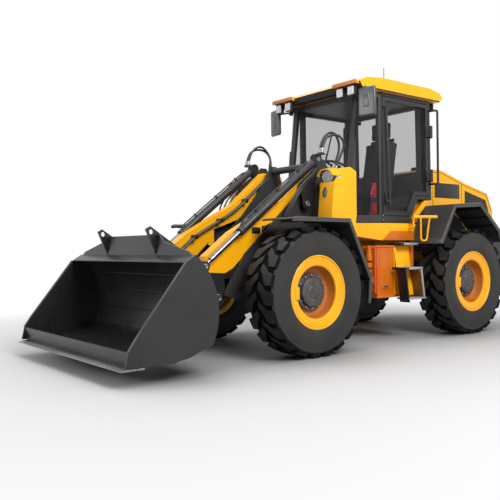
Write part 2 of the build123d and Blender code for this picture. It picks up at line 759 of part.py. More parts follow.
def side_tank(sign):
    rear = wheelbase - tyre_radius - 112
    body = plate([(rear, 520), (rear, tank_top), (1200, tank_top), (1180, tank_top - 30), (1180, 560),
                  (1240, 490)], tank_inner_x, 760)
    body += block(rail_x + 30 + seat_gap, tank_inner_x + 5, 1600, rear - 10, 800, 1000)
    return body if sign > 0 else mirror(body, about=Plane.YZ)


def rear_guards():
    y = wheelbase
    top = tyre_radius + 962.0
    path = [(y - 680, 1110), (y - 391, top - 30), (y + 150, top), (y + 564, 1269), (y + 620, 1120)]
    inner = [(y + 620 - sheet, 1115), (y + 564 - sheet, 1262), (y + 146, top - sheet),
             (y - 385, top - 30 - sheet), (y - 665, 1105)]
    shell = plate(path + inner, guard_inner_x, guard_outer_x)
    lip = plate(path + [(y + 580, 1110), (y + 530, 1245), (y + 135, top - 45), (y - 367, top - 72),
                        (y - 625, 1100)], guard_outer_x - 14, guard_outer_x)
    wall = plate([(y - 370, top - 40), (y + 140, top - 15), (y + 490, 1300), (y + 490, 1100),
                  (y - 370, 1100)], guard_inner_x - sheet, guard_inner_x + 5)
    stay = block(rail_x + 30 + seat_gap, guard_inner_x, y + 430, y + 480, 950, 1005)
    stay += block(guard_inner_x - sheet, guard_inner_x, y + 430, y + 480, 950, 1150)
    return both(shell + lip + wall + stay)


def engine_block():
    return block(-rail_x - 20, rail_x + 20, 2450, 3270, rear_frame_z + seat_gap, 1650)


hood_outline = [(2350, 1250), (2350, 2020), (2420, 2050), (2700, 2050), (3225, 1905), (3742, 1792),
                (3862, 1560), (3862, 1250)]
hood_inner = [(2300, 1200), (2300, 1995), (2420, 2050 - hood_wall), (2695, 2050 - hood_wall),
              (3218, 1905 - hood_wall), (3725, 1792 - hood_wall), (3862 - hood_wall, 1548),
              (3862 - hood_wall, 1200)]
hood_window = [(3210, 1640), (3210, 1810), (3700, 1700), (3770, 1560), (3770, 1420), (3330, 1420)]


def hood():
    body = plate(hood_outline, -hood_half_width, hood_half_width)
    body -= plate(hood_inner, -hood_half_width + hood_wall, hood_half_width - hood_wall)
    body -= plate(hood_window, -hood_half_width - 5, hood_half_width + 5)
    body -= block(-grille_half_width, grille_half_width, 3800, 3900, 1300, 1620)
    body -= both(block(388, 542, 3825, 3900, 1240, 1425))
    ear = plate([(3806, 1330), (3854, 1330), (3854, 1440), (3770, 1500), (3740, 1480)], 430, 500)
    ear += cross_pin(hood_hinge, 24, 430, 500)
    ear -= cross_pin(hood_hinge, 15 + run_fit, 420, 510)
    return body + both(ear)


slot_pitch = 30.0            # between the grilles' slots
slot_height = 16.0
side_slot_count = 12
rear_slot_count = 10


def hood_grilles():
    shrunk = plate([(3211, 1641), (3211, 1808.5), (3699, 1699), (3769, 1559.8), (3769, 1421), (3330.5, 1421)],
                   hood_half_width - 18, hood_half_width - 3)
    for k in range(side_slot_count):
        z = 1445 + k * slot_pitch
        shrunk -= block(hood_half_width - 9, hood_half_width, 3100, 3800, z, z + slot_height)
    half = grille_half_width - seat_gap
    rear = block(-half, half, 3840, 3855, 1300 + seat_gap, 1620 - seat_gap)
    for k in range(rear_slot_count):
        z = 1320 + k * slot_pitch
        rear -= block(-half + 20, half - 20, 3849, 3860, z, z + slot_height)
    panel = block(hood_half_width + seat_gap, hood_half_width + 4, 2560, 3080, 1700, 1880)
    return both(shrunk) + rear + both(panel)


def counterweight():
    side = [(3290, 820), (3290, 1118), (3480, 1200), (3980, 1200), (rear_y, 1170), (rear_y, 640), (3985, 600),
            (3560, 600), (3420, 700)]
    body = plate(side, -920, 920)
    body -= block(-rail_x - 30 - seat_gap, rail_x + 30 + seat_gap, 3280, 3851, 500, rear_frame_z + seat_gap)
    bracket = block(400, 424, 3800, 3856, 1195, 1358) + block(506, 530, 3800, 3856, 1195, 1358)
    bracket += cross_pin(hood_hinge, 15, 405, 525)
    body += both(bracket)
    body -= both(block(760, 880, rear_y - 14, rear_y + 10, 980, 1080))
    body -= block(-70, 70, 3900, rear_y + 10, 800, 900)
    body -= post(0, 3950, tow_pin_radius, 580, 1250)
    return body


def tail_lamps():
    g = seat_gap
    return both(block(760 + g, 880 - g, rear_y - 14 + g, rear_y - 1, 980 + g, 1080 - g))


def antenna():
    return post(400, 1790, 30, 3040 + seat_gap, 3060) + post(400, 1790, 4, 3055, 3265)


# ---------------------------------------------------------------- build every node
def flat_ram_nodes():
    """The two steering rams, lying flat beside the centre hinge."""
    for side, sign in (("left", 1), ("right", -1)):
        base = (sign * steer_base[0], steer_base[1], steer_z)
        tip = (sign * steer_eye[0], steer_eye[1], steer_z)
        way = Vector(tip[0] - base[0], tip[1] - base[1], 0)
        full = way.length
        unit = way / full

        def spot(distance):
            point = Vector(*base) + unit * distance
            return (point.X, point.Y, point.Z)

        barrel = bar(spot(32), spot(540), 38) - bar(spot(60), spot(560), 22 + run_fit)
        barrel += Pos(*base) * Cylinder(38, 40)
        barrel -= Pos(*base) * Cylinder(20 + run_fit, 100)
        rod = bar(spot(full - 560), spot(full - 28), 22) + Pos(*tip) * Cylinder(38, 40)
        rod += Pos(*tip) * Cylinder(20, 76)
        nodes[f"steer_barrel_{side}"] = barrel
        nodes[f"steer_rod_{side}"] = rod


def build():
    wheel_nodes()
    nodes["front_axle"] = axle(0.0, belly_z)
    nodes["rear_axle"] = axle(wheelbase, 870.0)
    nodes["front_chassis"] = front_chassis()
    nodes["front_mudguards"] = front_guards()
    nodes["lamp_posts"] = lamp_posts()
    nodes["headlamps"] = headlamps()
    nodes["lift_arms"] = lift_arms()
    nodes["arm_noses"] = arm_noses()
    nodes["hinge_pins"] = hinge_pins()
    nodes["tilt_levers"] = tilt_levers()
    nodes["tilt_barrels"] = ram_barrel(tilt_head, tilt_eye, barrel_length, ram_radius, ram_rod_radius,
                                       ram_eye_width, 25, 70, ram_x)
    nodes["tilt_rods"] = ram_rod(tilt_head, tilt_eye, rod_length, ram_rod_radius, ram_eye_width, 100, ram_x)
    nodes["lift_barrels"] = ram_barrel(lift_base, lift_eye, lift_barrel_length, lift_ram_radius,
                                       lift_rod_radius, 60, 30, 36, arm_x)
    nodes["lift_rods"] = ram_rod(lift_base, lift_eye, lift_rod_length, lift_rod_radius, 60, 30, arm_x)
    nodes["bucket_shell"] = bucket_shell()
    nodes["bucket_edge"] = bucket_edge()
    nodes["bucket_carrier"] = bucket_carrier()
    nodes["rear_chassis"] = rear_chassis()
    nodes["cab_base"] = cab_base()
    nodes["cab_frame"] = cab_frame() + hinge_brackets()
    nodes["cab_glass"] = cab_glass()
    nodes["cab_door"] = cab_door()
    nodes["door_glass"] = door_glass()
    nodes["cab_roof"] = cab_roof()
    nodes["work_lamps"] = work_lamps()
    nodes["handrails"] = handrails()
    nodes["mirrors"] = mirrors()
    nodes["seat"] = seat()
    nodes["console"] = console()
    nodes["fire_extinguisher"] = fire_extinguisher()
    nodes["steps"] = steps()
    nodes["left_tank"] = side_tank(1)
    nodes["right_tank"] = side_tank(-1)
    nodes["rear_mudguards"] = rear_guards()
    nodes["engine_block"] = engine_block()
    nodes["hood"] = hood()
    nodes["hood_grilles"] = hood_grilles()
    nodes["counterweight"] = counterweight()
    nodes["tail_lamps"] = tail_lamps()
    nodes["antenna"] = antenna()
    flat_ram_nodes()


def export():
    os.makedirs("parts", exist_ok=True)
    middle_y = (edge_tip[0] + rear_y) / 2
    for name, shape in nodes.items():
        export_step(Pos(0, -middle_y, 0) * shape, f"parts/{name}.step")


build()
export()
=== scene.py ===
# %% [markdown]
# # A wheel loader, dressed
# The frame of the machine comes from the CAD model: every node already has its true size and place.
# This lesson loads that frame first. Each later step either gives a node a finish or models a piece
# that belongs on it, such as a tyre's tread or a hydraulic hose.

# %% Load the frame
import bpy
import bmesh
import json
from math import cos, pi, radians, sin, tau
from mathutils import Matrix, Vector


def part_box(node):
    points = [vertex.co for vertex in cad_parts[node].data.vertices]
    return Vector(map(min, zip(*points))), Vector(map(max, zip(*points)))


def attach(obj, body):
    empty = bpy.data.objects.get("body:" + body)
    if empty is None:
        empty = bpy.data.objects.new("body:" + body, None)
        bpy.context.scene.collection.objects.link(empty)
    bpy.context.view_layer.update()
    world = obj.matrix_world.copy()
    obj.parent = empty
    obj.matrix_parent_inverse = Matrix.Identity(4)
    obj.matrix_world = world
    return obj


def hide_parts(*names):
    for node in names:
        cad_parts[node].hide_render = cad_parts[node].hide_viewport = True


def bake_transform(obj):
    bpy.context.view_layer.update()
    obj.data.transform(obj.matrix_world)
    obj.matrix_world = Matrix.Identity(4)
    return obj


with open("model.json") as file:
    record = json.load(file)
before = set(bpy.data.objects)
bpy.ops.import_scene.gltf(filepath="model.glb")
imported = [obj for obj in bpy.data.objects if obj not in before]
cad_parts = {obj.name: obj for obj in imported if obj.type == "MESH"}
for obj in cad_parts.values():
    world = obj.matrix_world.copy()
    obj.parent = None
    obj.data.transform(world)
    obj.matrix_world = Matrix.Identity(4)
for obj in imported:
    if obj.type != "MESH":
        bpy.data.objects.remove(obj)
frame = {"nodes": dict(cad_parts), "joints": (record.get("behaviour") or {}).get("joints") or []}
nodes = frame["nodes"]
joints = {joint["name"]: joint for joint in frame["joints"]}
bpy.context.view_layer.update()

# %% [markdown]
# The places that the whole lesson leans on are the machine's own pivots and wheel centres. They are read
# from the frame, so nothing here has to be fitted by eye.

# %% Read the main places
def middle(node):
    """The middle of a node's box."""
    low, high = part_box(node)
    return (low + high) / 2


def pivot(joint):
    """The place that a joint turns or slides about."""
    return Vector(joints[joint]["pos_m"])


WHEELS = ["front_left", "front_right", "rear_left", "rear_right"]
wheel_centre = {wheel: middle(f"{wheel}_tyre") for wheel in WHEELS}
tyre_radius = wheel_centre["front_left"].z
half_track = wheel_centre["front_left"].x
front_axle_y = wheel_centre["front_left"].y
print("tyre radius", round(tyre_radius, 3), "half track", round(half_track, 3))

# %% [markdown]
# The machine is shown from a low standpoint with a normal lens. The camera stands ahead and to the left of
# the machine, a little lower than the tops of its wheels, and looks almost level.

# %% Place the camera
EYE = Vector((5.768, front_axle_y - 4.488, 1.084))
HEADING, PITCH, ROLL = radians(51.22), radians(-0.22), radians(-0.73)
bpy.ops.object.camera_add(location=EYE)
camera = bpy.context.object
camera.name = "camera"
turn = Matrix.Rotation(HEADING, 4, "Z") @ Matrix.Rotation(pi / 2 + PITCH, 4, "X")
turn = turn @ Matrix.Rotation(ROLL, 4, "Z")
camera.matrix_world = Matrix.Translation(EYE) @ turn
camera.data.lens = 47.68
camera.data.sensor_width = 36.0
camera.data.shift_x = -0.0219
camera.data.clip_end = 200.0
bpy.context.scene.camera = camera
print("camera at", [round(v, 2) for v in EYE])

# %% [markdown]
# The studio has a pale floor that fades to white, one large soft lamp high on the camera's side, a broad
# lamp overhead, a fill from the front and an even world. Wide lamps give soft shadows, and the key lamp is
# the smallest and strongest, so that the machine's edges still read.

# %% Light the studio
def soft_lamp(name, place, aim, size, watts):
    """A rectangular area lamp at a place, aimed at another."""
    bpy.ops.object.light_add(type="AREA", location=place)
    lamp = bpy.context.object
    lamp.name = name
    lamp.data.shape = "RECTANGLE"
    lamp.data.size, lamp.data.size_y = size
    lamp.data.energy = watts
    lamp.rotation_euler = (Vector(place) - Vector(aim)).to_track_quat("Z", "Y").to_euler()
    return lamp


soft_lamp("key_lamp", (7.5, -1.5, 6.5), (0.3, 0.2, 1.0), (4.0, 3.2), 930.0)
soft_lamp("top_lamp", (-1.0, -0.5, 8.5), (0.0, 0.0, 1.0), (7.0, 7.0), 340.0)
soft_lamp("front_lamp", (-2.5, -9.0, 4.0), (0.0, -1.0, 1.0), (5.0, 3.0), 260.0)

# %% [markdown]
# The world is a pair of backgrounds. The plain one lights the machine. The white one is chosen by the kind
# of ray: the camera's own rays, those that pass through the glass and those that a glossy surface mirrors.

# %% Set up the world
def larger(tree, first, second):
    """The larger of two values, from a Math node."""
    node = tree.nodes.new("ShaderNodeMath")
    node.operation = "MAXIMUM"
    tree.links.new(first, node.inputs[0])
    tree.links.new(second, node.inputs[1])
    return node.outputs[0]


def background(tree, colour, strength):
    """One plain background of the world."""
    node = tree.nodes.new("ShaderNodeBackground")
    node.inputs["Color"].default_value = (*colour, 1.0)
    node.inputs["Strength"].default_value = strength
    return node.outputs[0]


world = bpy.data.worlds.new("studio")
bpy.context.scene.world = world
world.use_nodes = True
tree = world.node_tree
tree.nodes.clear()
rays = tree.nodes.new("ShaderNodeLightPath").outputs
direct = larger(tree, rays["Is Camera Ray"], rays["Is Transmission Ray"])
choose = tree.nodes.new("ShaderNodeMixShader")
tree.links.new(larger(tree, direct, rays["Is Glossy Ray"]), choose.inputs[0])
tree.links.new(background(tree, (0.96, 0.98, 1.0), 0.26), choose.inputs[1])
tree.links.new(background(tree, (1.0, 1.0, 1.0), 1.0), choose.inputs[2])
sky_out = tree.nodes.new("ShaderNodeOutputWorld")
tree.links.new(choose.outputs[0], sky_out.inputs[0])
bpy.context.scene.view_settings.view_transform = "Standard"
print("world:", world.name, "nodes:", len(tree.nodes))

# %% [markdown]
# A finish is a small tree of nodes, and three parts of it come back in every finish: two colours mixed by a
# factor, a noise on the piece's own coordinates, and a ramp that takes a noise to the range that is needed.

# %% Parts of a finish
def mixed_colour(tree, factor, first, second):
    """Two colours mixed by a factor."""
    mix = tree.nodes.new("ShaderNodeMix")
    mix.data_type = "RGBA"
    tree.links.new(factor, mix.inputs["Factor"])
    mix.inputs["A"].default_value = (*first, 1.0)
    mix.inputs["B"].default_value = (*second, 1.0)
    return mix.outputs["Result"]


def noise(tree, coords, scale, detail=4.0, stretch=(1.0, 1.0, 1.0)):
    """A noise that stays on the piece as it moves."""
    place = tree.nodes.new("ShaderNodeMapping")
    place.inputs["Scale"].default_value = stretch
    tree.links.new(coords.outputs["Object"], place.inputs["Vector"])
    texture = tree.nodes.new("ShaderNodeTexNoise")
    texture.inputs["Scale"].default_value = scale
    texture.inputs["Detail"].default_value = detail
    tree.links.new(place.outputs[0], texture.inputs["Vector"])
    return texture.outputs["Fac"]


def ramp(tree, value, low, high, start=0.35, end=0.65):
    """A value between start and end, taken to the range from low to high."""
    node = tree.nodes.new("ShaderNodeMapRange")
    node.inputs["From Min"].default_value = start
    node.inputs["From Max"].default_value = end
    node.inputs["To Min"].default_value = low
    node.inputs["To Max"].default_value = high
    tree.links.new(value, node.inputs["Value"])
    return node.outputs["Result"]


print("node helpers ready")

# %% [markdown]
# Most surfaces of the machine share one recipe: a base colour that a soft noise shifts a little, a roughness
# that a second noise breaks up, and a fine bump. A Bevel node rounds sharp edges in the shading alone, so
# that they catch the light. The recipe is a function, and each real finish is one call with its own numbers.

# %% A recipe for finishes
EDGE_ROUNDING = 0.005
BUMP_DISTANCE = 0.01
COAT_ROUGHNESS = 0.12


def finish(name, base, shade, rough=(0.35, 0.5), metal=0.0, grain=180.0, bump=0.02, cloud=1.6,
           stretch=(1.0, 1.0, 1.0), coat=0.0, shine=0.5):
    material = bpy.data.materials.new(name)
    material.use_nodes = True
    tree = material.node_tree
    shader = tree.nodes["Principled BSDF"]
    coords = tree.nodes.new("ShaderNodeTexCoord")
    clouds = ramp(tree, noise(tree, coords, cloud, 5.0, stretch), 0.0, 1.0)
    tree.links.new(mixed_colour(tree, clouds, base, shade), shader.inputs["Base Color"])
    fine = noise(tree, coords, grain, 3.0, stretch)
    tree.links.new(ramp(tree, fine, rough[0], rough[1]), shader.inputs["Roughness"])
    edges = tree.nodes.new("ShaderNodeBevel")
    edges.samples = 4
    edges.inputs["Radius"].default_value = EDGE_ROUNDING
    height = tree.nodes.new("ShaderNodeBump")
    tree.links.new(edges.outputs[0], height.inputs["Normal"])
    height.inputs["Strength"].default_value = bump
    height.inputs["Distance"].default_value = BUMP_DISTANCE
    tree.links.new(fine, height.inputs["Height"])
    tree.links.new(height.outputs[0], shader.inputs["Normal"])
    shader.inputs["Metallic"].default_value = metal
    shader.inputs["Specular IOR Level"].default_value = shine
    shader.inputs["Coat Weight"].default_value = coat
    shader.inputs["Coat Roughness"].default_value = COAT_ROUGHNESS
    return material


print("finish recipe ready, edges rounded by", EDGE_ROUNDING)

# %% [markdown]
# Most of the machine is painted. Clean panels are a deep yellow. Where the same paint sits low and mirrors
# the shaded ground it looks orange or brown, so those panels get darker paints of their own, with that shade
# and reflection painted into their colour. A worn finish has larger clouds between its two colours.

# %% The paints
yellow = finish("yellow_paint", (0.84, 0.385, 0.001), (0.80, 0.35, 0.001), (0.34, 0.42), grain=260.0,
                bump=0.015, coat=0.15, shine=0.3)
# Orange: the yellow paint's painted shade and painted reflection of the shaded ground.
painted_shade_orange = finish("orange_painted_shade", (0.54, 0.125, 0.004), (0.43, 0.09, 0.004), (0.3, 0.42), grain=200.0,
                bump=0.02, coat=0.15, shine=0.3)
# Brown: the yellow paint's painted shade, for faces that stand in shade.
brown_painted_shade = finish("brown_painted_shade", (0.50, 0.15, 0.012), (0.36, 0.11, 0.012), (0.35, 0.45), grain=200.0,
                     bump=0.02)
# The dish's brown-orange is painted shade of the rim's yellow in its deep recess.
dish_painted_shade = finish("dish_painted_shade", (0.50, 0.145, 0.012), (0.36, 0.10, 0.012), (0.4, 0.55), cloud=5.0,
                    grain=140.0, bump=0.03)
worn_brown = finish("worn_brown", (0.22, 0.085, 0.015), (0.10, 0.05, 0.018), (0.3, 0.5), metal=0.3,
                    grain=90.0, bump=0.05, cloud=4.0)
black = finish("black_paint", (0.010, 0.010, 0.011), (0.015, 0.015, 0.016), (0.28, 0.42), grain=220.0,
               bump=0.02, shine=0.35)
charcoal = finish("charcoal_paint", (0.030, 0.029, 0.030), (0.022, 0.022, 0.023), (0.38, 0.5), grain=200.0,
                  bump=0.02, shine=0.3)
bucket_black = finish("bucket_paint", (0.007, 0.007, 0.008), (0.014, 0.014, 0.015), (0.24, 0.38), cloud=2.4,
                      grain=90.0, bump=0.02, shine=0.5)
bucket_edge_paint = finish("bucket_edge_paint", (0.05, 0.05, 0.052), (0.09, 0.09, 0.092), (0.25, 0.4),
                           metal=0.5, grain=120.0, bump=0.05)
extinguisher_red = finish("extinguisher_red", (0.95, 0.02, 0.035), (0.88, 0.016, 0.03), (0.25, 0.35),
                          grain=120.0, bump=0.01, coat=0.3)
red_gloss = finish("red_enamel", (0.55, 0.012, 0.012), (0.48, 0.010, 0.010), (0.2, 0.3), grain=120.0,
                   bump=0.01, coat=0.5)
print("finishes:", len(bpy.data.materials))

# %% [markdown]
# Bare metals mirror the white studio, so their base colours are much darker than they look. Rods are hard
# chrome and nearly smooth. Castings are rough, and the marks on the bucket's edge are a stretched noise.

# %% Bare metals
steel = finish("plated_steel", (0.30, 0.30, 0.30), (0.22, 0.22, 0.23), (0.3, 0.45), metal=1.0, grain=160.0)
chrome = finish("rod_chrome", (0.15, 0.15, 0.21), (0.12, 0.12, 0.17), (0.22, 0.30), metal=1.0, grain=120.0,
                bump=0.004)
edge_steel = finish("edge_steel", (0.30, 0.30, 0.31), (0.17, 0.17, 0.18), (0.3, 0.5), metal=0.9,
                    grain=140.0, stretch=(1.0, 9.0, 1.0))
iron = finish("engine_iron", (0.10, 0.10, 0.105), (0.14, 0.13, 0.13), (0.5, 0.7), metal=0.4, grain=60.0,
              bump=0.1)
hub_iron = finish("hub_iron", (0.075, 0.070, 0.066), (0.045, 0.043, 0.042), (0.4, 0.6), metal=0.3,
                  grain=90.0, bump=0.06, cloud=9.0)
tread_plate = finish("tread_plate", (0.42, 0.41, 0.40), (0.30, 0.29, 0.28), (0.25, 0.45), metal=0.8,
                     grain=70.0, bump=0.12)
print("finishes:", len(bpy.data.materials))

# %% [markdown]
# Blacks differ by their roughness more than by their colour. The grooves of a tyre look darker than its
# lugs because shade falls in them, so that shade is painted into a near-black rubber of their own.

# %% Rubber, plastic and cloth
rubber = finish("tyre_rubber", (0.017, 0.017, 0.016), (0.026, 0.025, 0.023), (0.5, 0.7), cloud=3.0,
                grain=150.0, bump=0.05, shine=0.28)
groove_shade_and_seam_black = finish("groove_shade_and_seam_rubber", (0.003, 0.003, 0.003), (0.005, 0.005, 0.005), (0.7, 0.85), cloud=3.0,
                      shine=0.1)
hose_rubber = finish("hose_rubber", (0.014, 0.014, 0.015), (0.022, 0.022, 0.022), (0.4, 0.55), grain=300.0,
                     bump=0.05)
plastic = finish("black_plastic", (0.016, 0.016, 0.017), (0.022, 0.022, 0.023), (0.42, 0.55), grain=420.0,
                 bump=0.06, shine=0.3)
guard_plastic = finish("guard_plastic", (0.034, 0.033, 0.032), (0.046, 0.044, 0.042), (0.32, 0.45),
                       grain=420.0, bump=0.04, shine=0.4)
mirror_shell = finish("mirror_shell", (0.040, 0.042, 0.046), (0.055, 0.057, 0.062), (0.22, 0.34),
                      grain=300.0, bump=0.03)
cloth = finish("seat_cloth", (0.030, 0.031, 0.034), (0.045, 0.046, 0.050), (0.8, 0.95), grain=600.0,
               bump=0.03, shine=0.15)
print("finishes:", len(bpy.data.materials))

# %% [markdown]
# Lamps need two finishes under their glass: a pale moulded lens and a bowl whose strong, coarse noise of
# bright and dark patches is painted glints and reflections of its facets.

# %% Lamp bowls and lenses
lamp_lens = finish("lamp_lens", (0.62, 0.62, 0.63), (0.50, 0.50, 0.52), (0.12, 0.2), grain=60.0, bump=0.05,
                   coat=0.3)
lamp_bowl_painted_glints = finish("lamp_bowl_painted_glints", (0.80, 0.82, 0.83), (0.20, 0.21, 0.22), (0.1, 0.25), metal=0.3, grain=30.0,
                   bump=0.2, cloud=30.0)
print("finishes:", len(bpy.data.materials))

# %% [markdown]
# Glass needs a different tree. The cab's panes are tinted: they let some light through and mirror the
# studio at a low angle. A pane that is thin and seen from outside looks right with a see-through shader
# under a clear gloss, and it renders far faster than true refraction.

# %% Tinted panes
def pane(name, tint, see_through, rough=0.03):
    material = bpy.data.materials.new(name)
    material.use_nodes = True
    tree = material.node_tree
    shader = tree.nodes["Principled BSDF"]
    coords = tree.nodes.new("ShaderNodeTexCoord")
    streaks = noise(tree, coords, 3.0, 4.0, (1.0, 1.0, 0.3))
    tree.links.new(ramp(tree, streaks, rough, rough + 0.03), shader.inputs["Roughness"])
    lighter = tuple(v * 1.15 for v in tint)
    tree.links.new(mixed_colour(tree, streaks, tint, lighter), shader.inputs["Base Color"])
    shader.inputs["Alpha"].default_value = see_through
    shader.inputs["IOR"].default_value = 1.5
    return material


cab_glass = pane("cab_glass", (0.016, 0.016, 0.018), 0.18)
lens_glass = pane("lens_glass", (0.75, 0.78, 0.80), 0.22, 0.06)
print("panes:", cab_glass.name, lens_glass.name)

# %% [markdown]
# The CAD nodes whose shape is already right only need their finish. A table lists the nodes of each finish.

# %% Dress the CAD nodes
FINISHES = [
    (yellow, ["lamp_posts", "lift_arms", "rear_chassis", "cab_base", "cab_roof", "steps", "right_tank"]),
    (yellow, ["hood"] + [f"{wheel}_rim" for wheel in WHEELS]),
    # The left tank's orange is painted shade and painted reflection; the right tank stays yellow.
    (painted_shade_orange, ["left_tank"]),
    (charcoal, ["front_axle", "rear_axle", "front_chassis", "cab_frame", "cab_door", "counterweight"]),
    (black, ["arm_noses", "tilt_levers", "tilt_barrels", "lift_barrels", "bucket_carrier", "handrails"]),
    (black, ["hood_grilles", "steer_barrel_left", "steer_barrel_right"]),
    (chrome, ["tilt_rods", "lift_rods", "steer_rod_left", "steer_rod_right"]),
    (bucket_black, ["bucket_shell"]),
    (edge_steel, ["bucket_edge"]),
    (steel, ["hinge_pins"]),
    (iron, ["engine_block"]),
    (guard_plastic, ["front_mudguards", "rear_mudguards"]),
    (plastic, ["mirrors", "console", "antenna"]),
    (cloth, ["seat"]),
    (cab_glass, ["cab_glass", "door_glass"]),
    (lens_glass, ["headlamps", "work_lamps"]),
    (red_gloss, ["tail_lamps"]),
    (extinguisher_red, ["fire_extinguisher"]),
    (rubber, [f"{wheel}_tyre" for wheel in WHEELS]),
]
dressed = []
for material, names in FINISHES:
    for name in names:
        nodes[name].data.materials.clear()
        nodes[name].data.materials.append(material)
        dressed.append(name)
print("dressed nodes:", len(dressed), "bare:", sorted(set(nodes) - set(dressed)))

# %% [markdown]
# Every new piece starts from a primitive and is shaped with edit-mode operators. Two small habits keep that
# safe: nothing is selected before a primitive is added, and faces are picked in code by where they lie and
# which way they face.

# %% Small habits for modelling
def clear_selection():
    """Leave edit mode if it is on, and select nothing."""
    if bpy.context.object and bpy.context.object.mode != "OBJECT":
        bpy.ops.object.mode_set(mode="OBJECT")
    bpy.ops.object.select_all(action="DESELECT")


def select_only(piece):
    clear_selection()
    piece.select_set(True)
    bpy.context.view_layer.objects.active = piece


def open_for_edit(piece):
    """Go into edit mode on one piece, with all of it selected."""
    select_only(piece)
    bpy.ops.object.mode_set(mode="EDIT")
    bpy.ops.mesh.select_all(action="SELECT")


def pick_faces(piece, wanted):
    """In edit mode: select only the faces whose middle and normal pass the test."""
    bpy.ops.mesh.select_mode(type="FACE")
    bpy.ops.mesh.select_all(action="DESELECT")
    shape = bmesh.from_edit_mesh(piece.data)
    count = 0
    for face in shape.faces:
        if wanted(face.calc_center_median(), face.normal):
            face.select_set(True)
            count += 1
    shape.select_flush_mode()
    bmesh.update_edit_mesh(piece.data)
    return count


def use_modifier(piece, kind, **settings):
    """Add a modifier with its settings and apply it at once."""
    select_only(piece)
    modifier = piece.modifiers.new(kind.lower(), kind)
    for key, value in settings.items():
        setattr(modifier, key, value)
    bpy.ops.object.modifier_apply(modifier=modifier.name)


def inset_faces(piece, wanted, thickness, depth):
    """Inset the faces that pass a test of their middle and normal, and push them in or out."""
    open_for_edit(piece)
    if pick_faces(piece, wanted):
        bpy.ops.mesh.inset(thickness=thickness, depth=depth)
    bpy.ops.object.mode_set(mode="OBJECT")


print("editing helpers ready")

# %% [markdown]
# A finished piece is settled: its place goes into its mesh, its shading turns smooth up to a crease angle,
# and it gets its paint and the body that it rides on. Pieces of one finish on one body are joined first.

# %% Joining, copying and settling pieces
def settle(piece, name, paint, body=None, crease=32.0):
    """Name a finished piece, put its place into its mesh, smooth it, paint it and let it ride."""
    select_only(piece)
    bpy.ops.object.transform_apply(location=True, rotation=True, scale=True)
    bpy.ops.object.shade_smooth_by_angle(angle=radians(crease))
    piece.name = name
    piece.data.name = name
    if paint and not piece.data.materials:
        piece.data.materials.append(paint)
    if body:
        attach(piece, body)
    return piece


def join(pieces):
    """Make one object of several. The first one keeps its name and its place."""
    clear_selection()
    for piece in pieces:
        piece.select_set(True)
    bpy.context.view_layer.objects.active = pieces[0]
    bpy.ops.object.join()
    return pieces[0]


def copy_of(piece):
    """A copy with its own mesh."""
    twin = piece.copy()
    twin.data = piece.data.copy()
    bpy.context.collection.objects.link(twin)
    return twin


def from_axle(x, y, z):
    """A place counted from the ground under the middle of the front axle."""
    return Vector((x, front_axle_y + y, z))


print("the front axle's middle is at", [round(v, 3) for v in from_axle(0.0, 0.0, tyre_radius)])

# %% [markdown]
# Four starting shapes come back all over the machine. The first two are flat-sided. A block is a cube with
# softened edges. A plate is a disc of as many corners as its outline, moved to that outline in the machine's
# side view and extruded across.

# %% Block and plate
def soft_block(low, high, edge=0.005, steps=2):
    """A box from one corner to the opposite one, with bevelled edges."""
    low, high = Vector(low), Vector(high)
    clear_selection()
    bpy.ops.mesh.primitive_cube_add(size=1.0, location=(low + high) / 2)
    piece = bpy.context.object
    piece.scale = high - low
    bpy.ops.object.transform_apply(location=False, rotation=False, scale=True)
    if edge:
        use_modifier(piece, "BEVEL", width=edge, segments=steps)
    return piece


def side_plate(outline, x0, x1, edge=0.004, steps=2):
    """A plate whose outline is given as (y from the front axle, z), from x0 to x1."""
    clear_selection()
    bpy.ops.mesh.primitive_circle_add(vertices=len(outline), radius=1.0, fill_type="NGON")
    piece = bpy.context.object
    for corner, (y, z) in zip(piece.data.vertices, outline):
        corner.co = from_axle(x0, y, z)
    open_for_edit(piece)
    bpy.ops.mesh.extrude_region_move(TRANSFORM_OT_translate={"value": (x1 - x0, 0.0, 0.0)})
    bpy.ops.mesh.select_all(action="SELECT")
    bpy.ops.mesh.normals_make_consistent(inside=False)
    bpy.ops.object.mode_set(mode="OBJECT")
    if edge:
        use_modifier(piece, "BEVEL", width=edge, segments=steps, limit_method="ANGLE",
                     angle_limit=radians(30))
    return piece


print("blocks and plates ready")

# %% [markdown]
# The other two starting shapes are round. A turned piece is a profile spun round its axle, with its doubled
# points merged where it closes. A pipe is a curve with a round section, turned into a mesh.

# %% Turned piece and pipe
MERGE = 0.00002


def turned(profile, centre, axis="X", steps=64):
    """A profile of (along the axis, radius) spun once round the axis through centre."""
    clear_selection()
    bpy.ops.mesh.primitive_circle_add(vertices=len(profile), radius=1.0, fill_type="NOTHING")
    piece = bpy.context.object
    for corner, (along, radius) in zip(piece.data.vertices, profile):
        corner.co = {"X": (along, 0.0, radius), "Y": (radius, along, 0.0), "Z": (radius, 0.0, along)}[axis]
    open_for_edit(piece)
    direction = {"X": (1, 0, 0), "Y": (0, 1, 0), "Z": (0, 0, 1)}[axis]
    bpy.ops.mesh.spin(steps=steps, angle=tau, center=(0, 0, 0), axis=direction)
    bpy.ops.mesh.select_all(action="SELECT")
    bpy.ops.mesh.remove_doubles(threshold=MERGE)
    bpy.ops.mesh.normals_make_consistent(inside=False)
    bpy.ops.object.mode_set(mode="OBJECT")
    piece.location = centre
    return piece


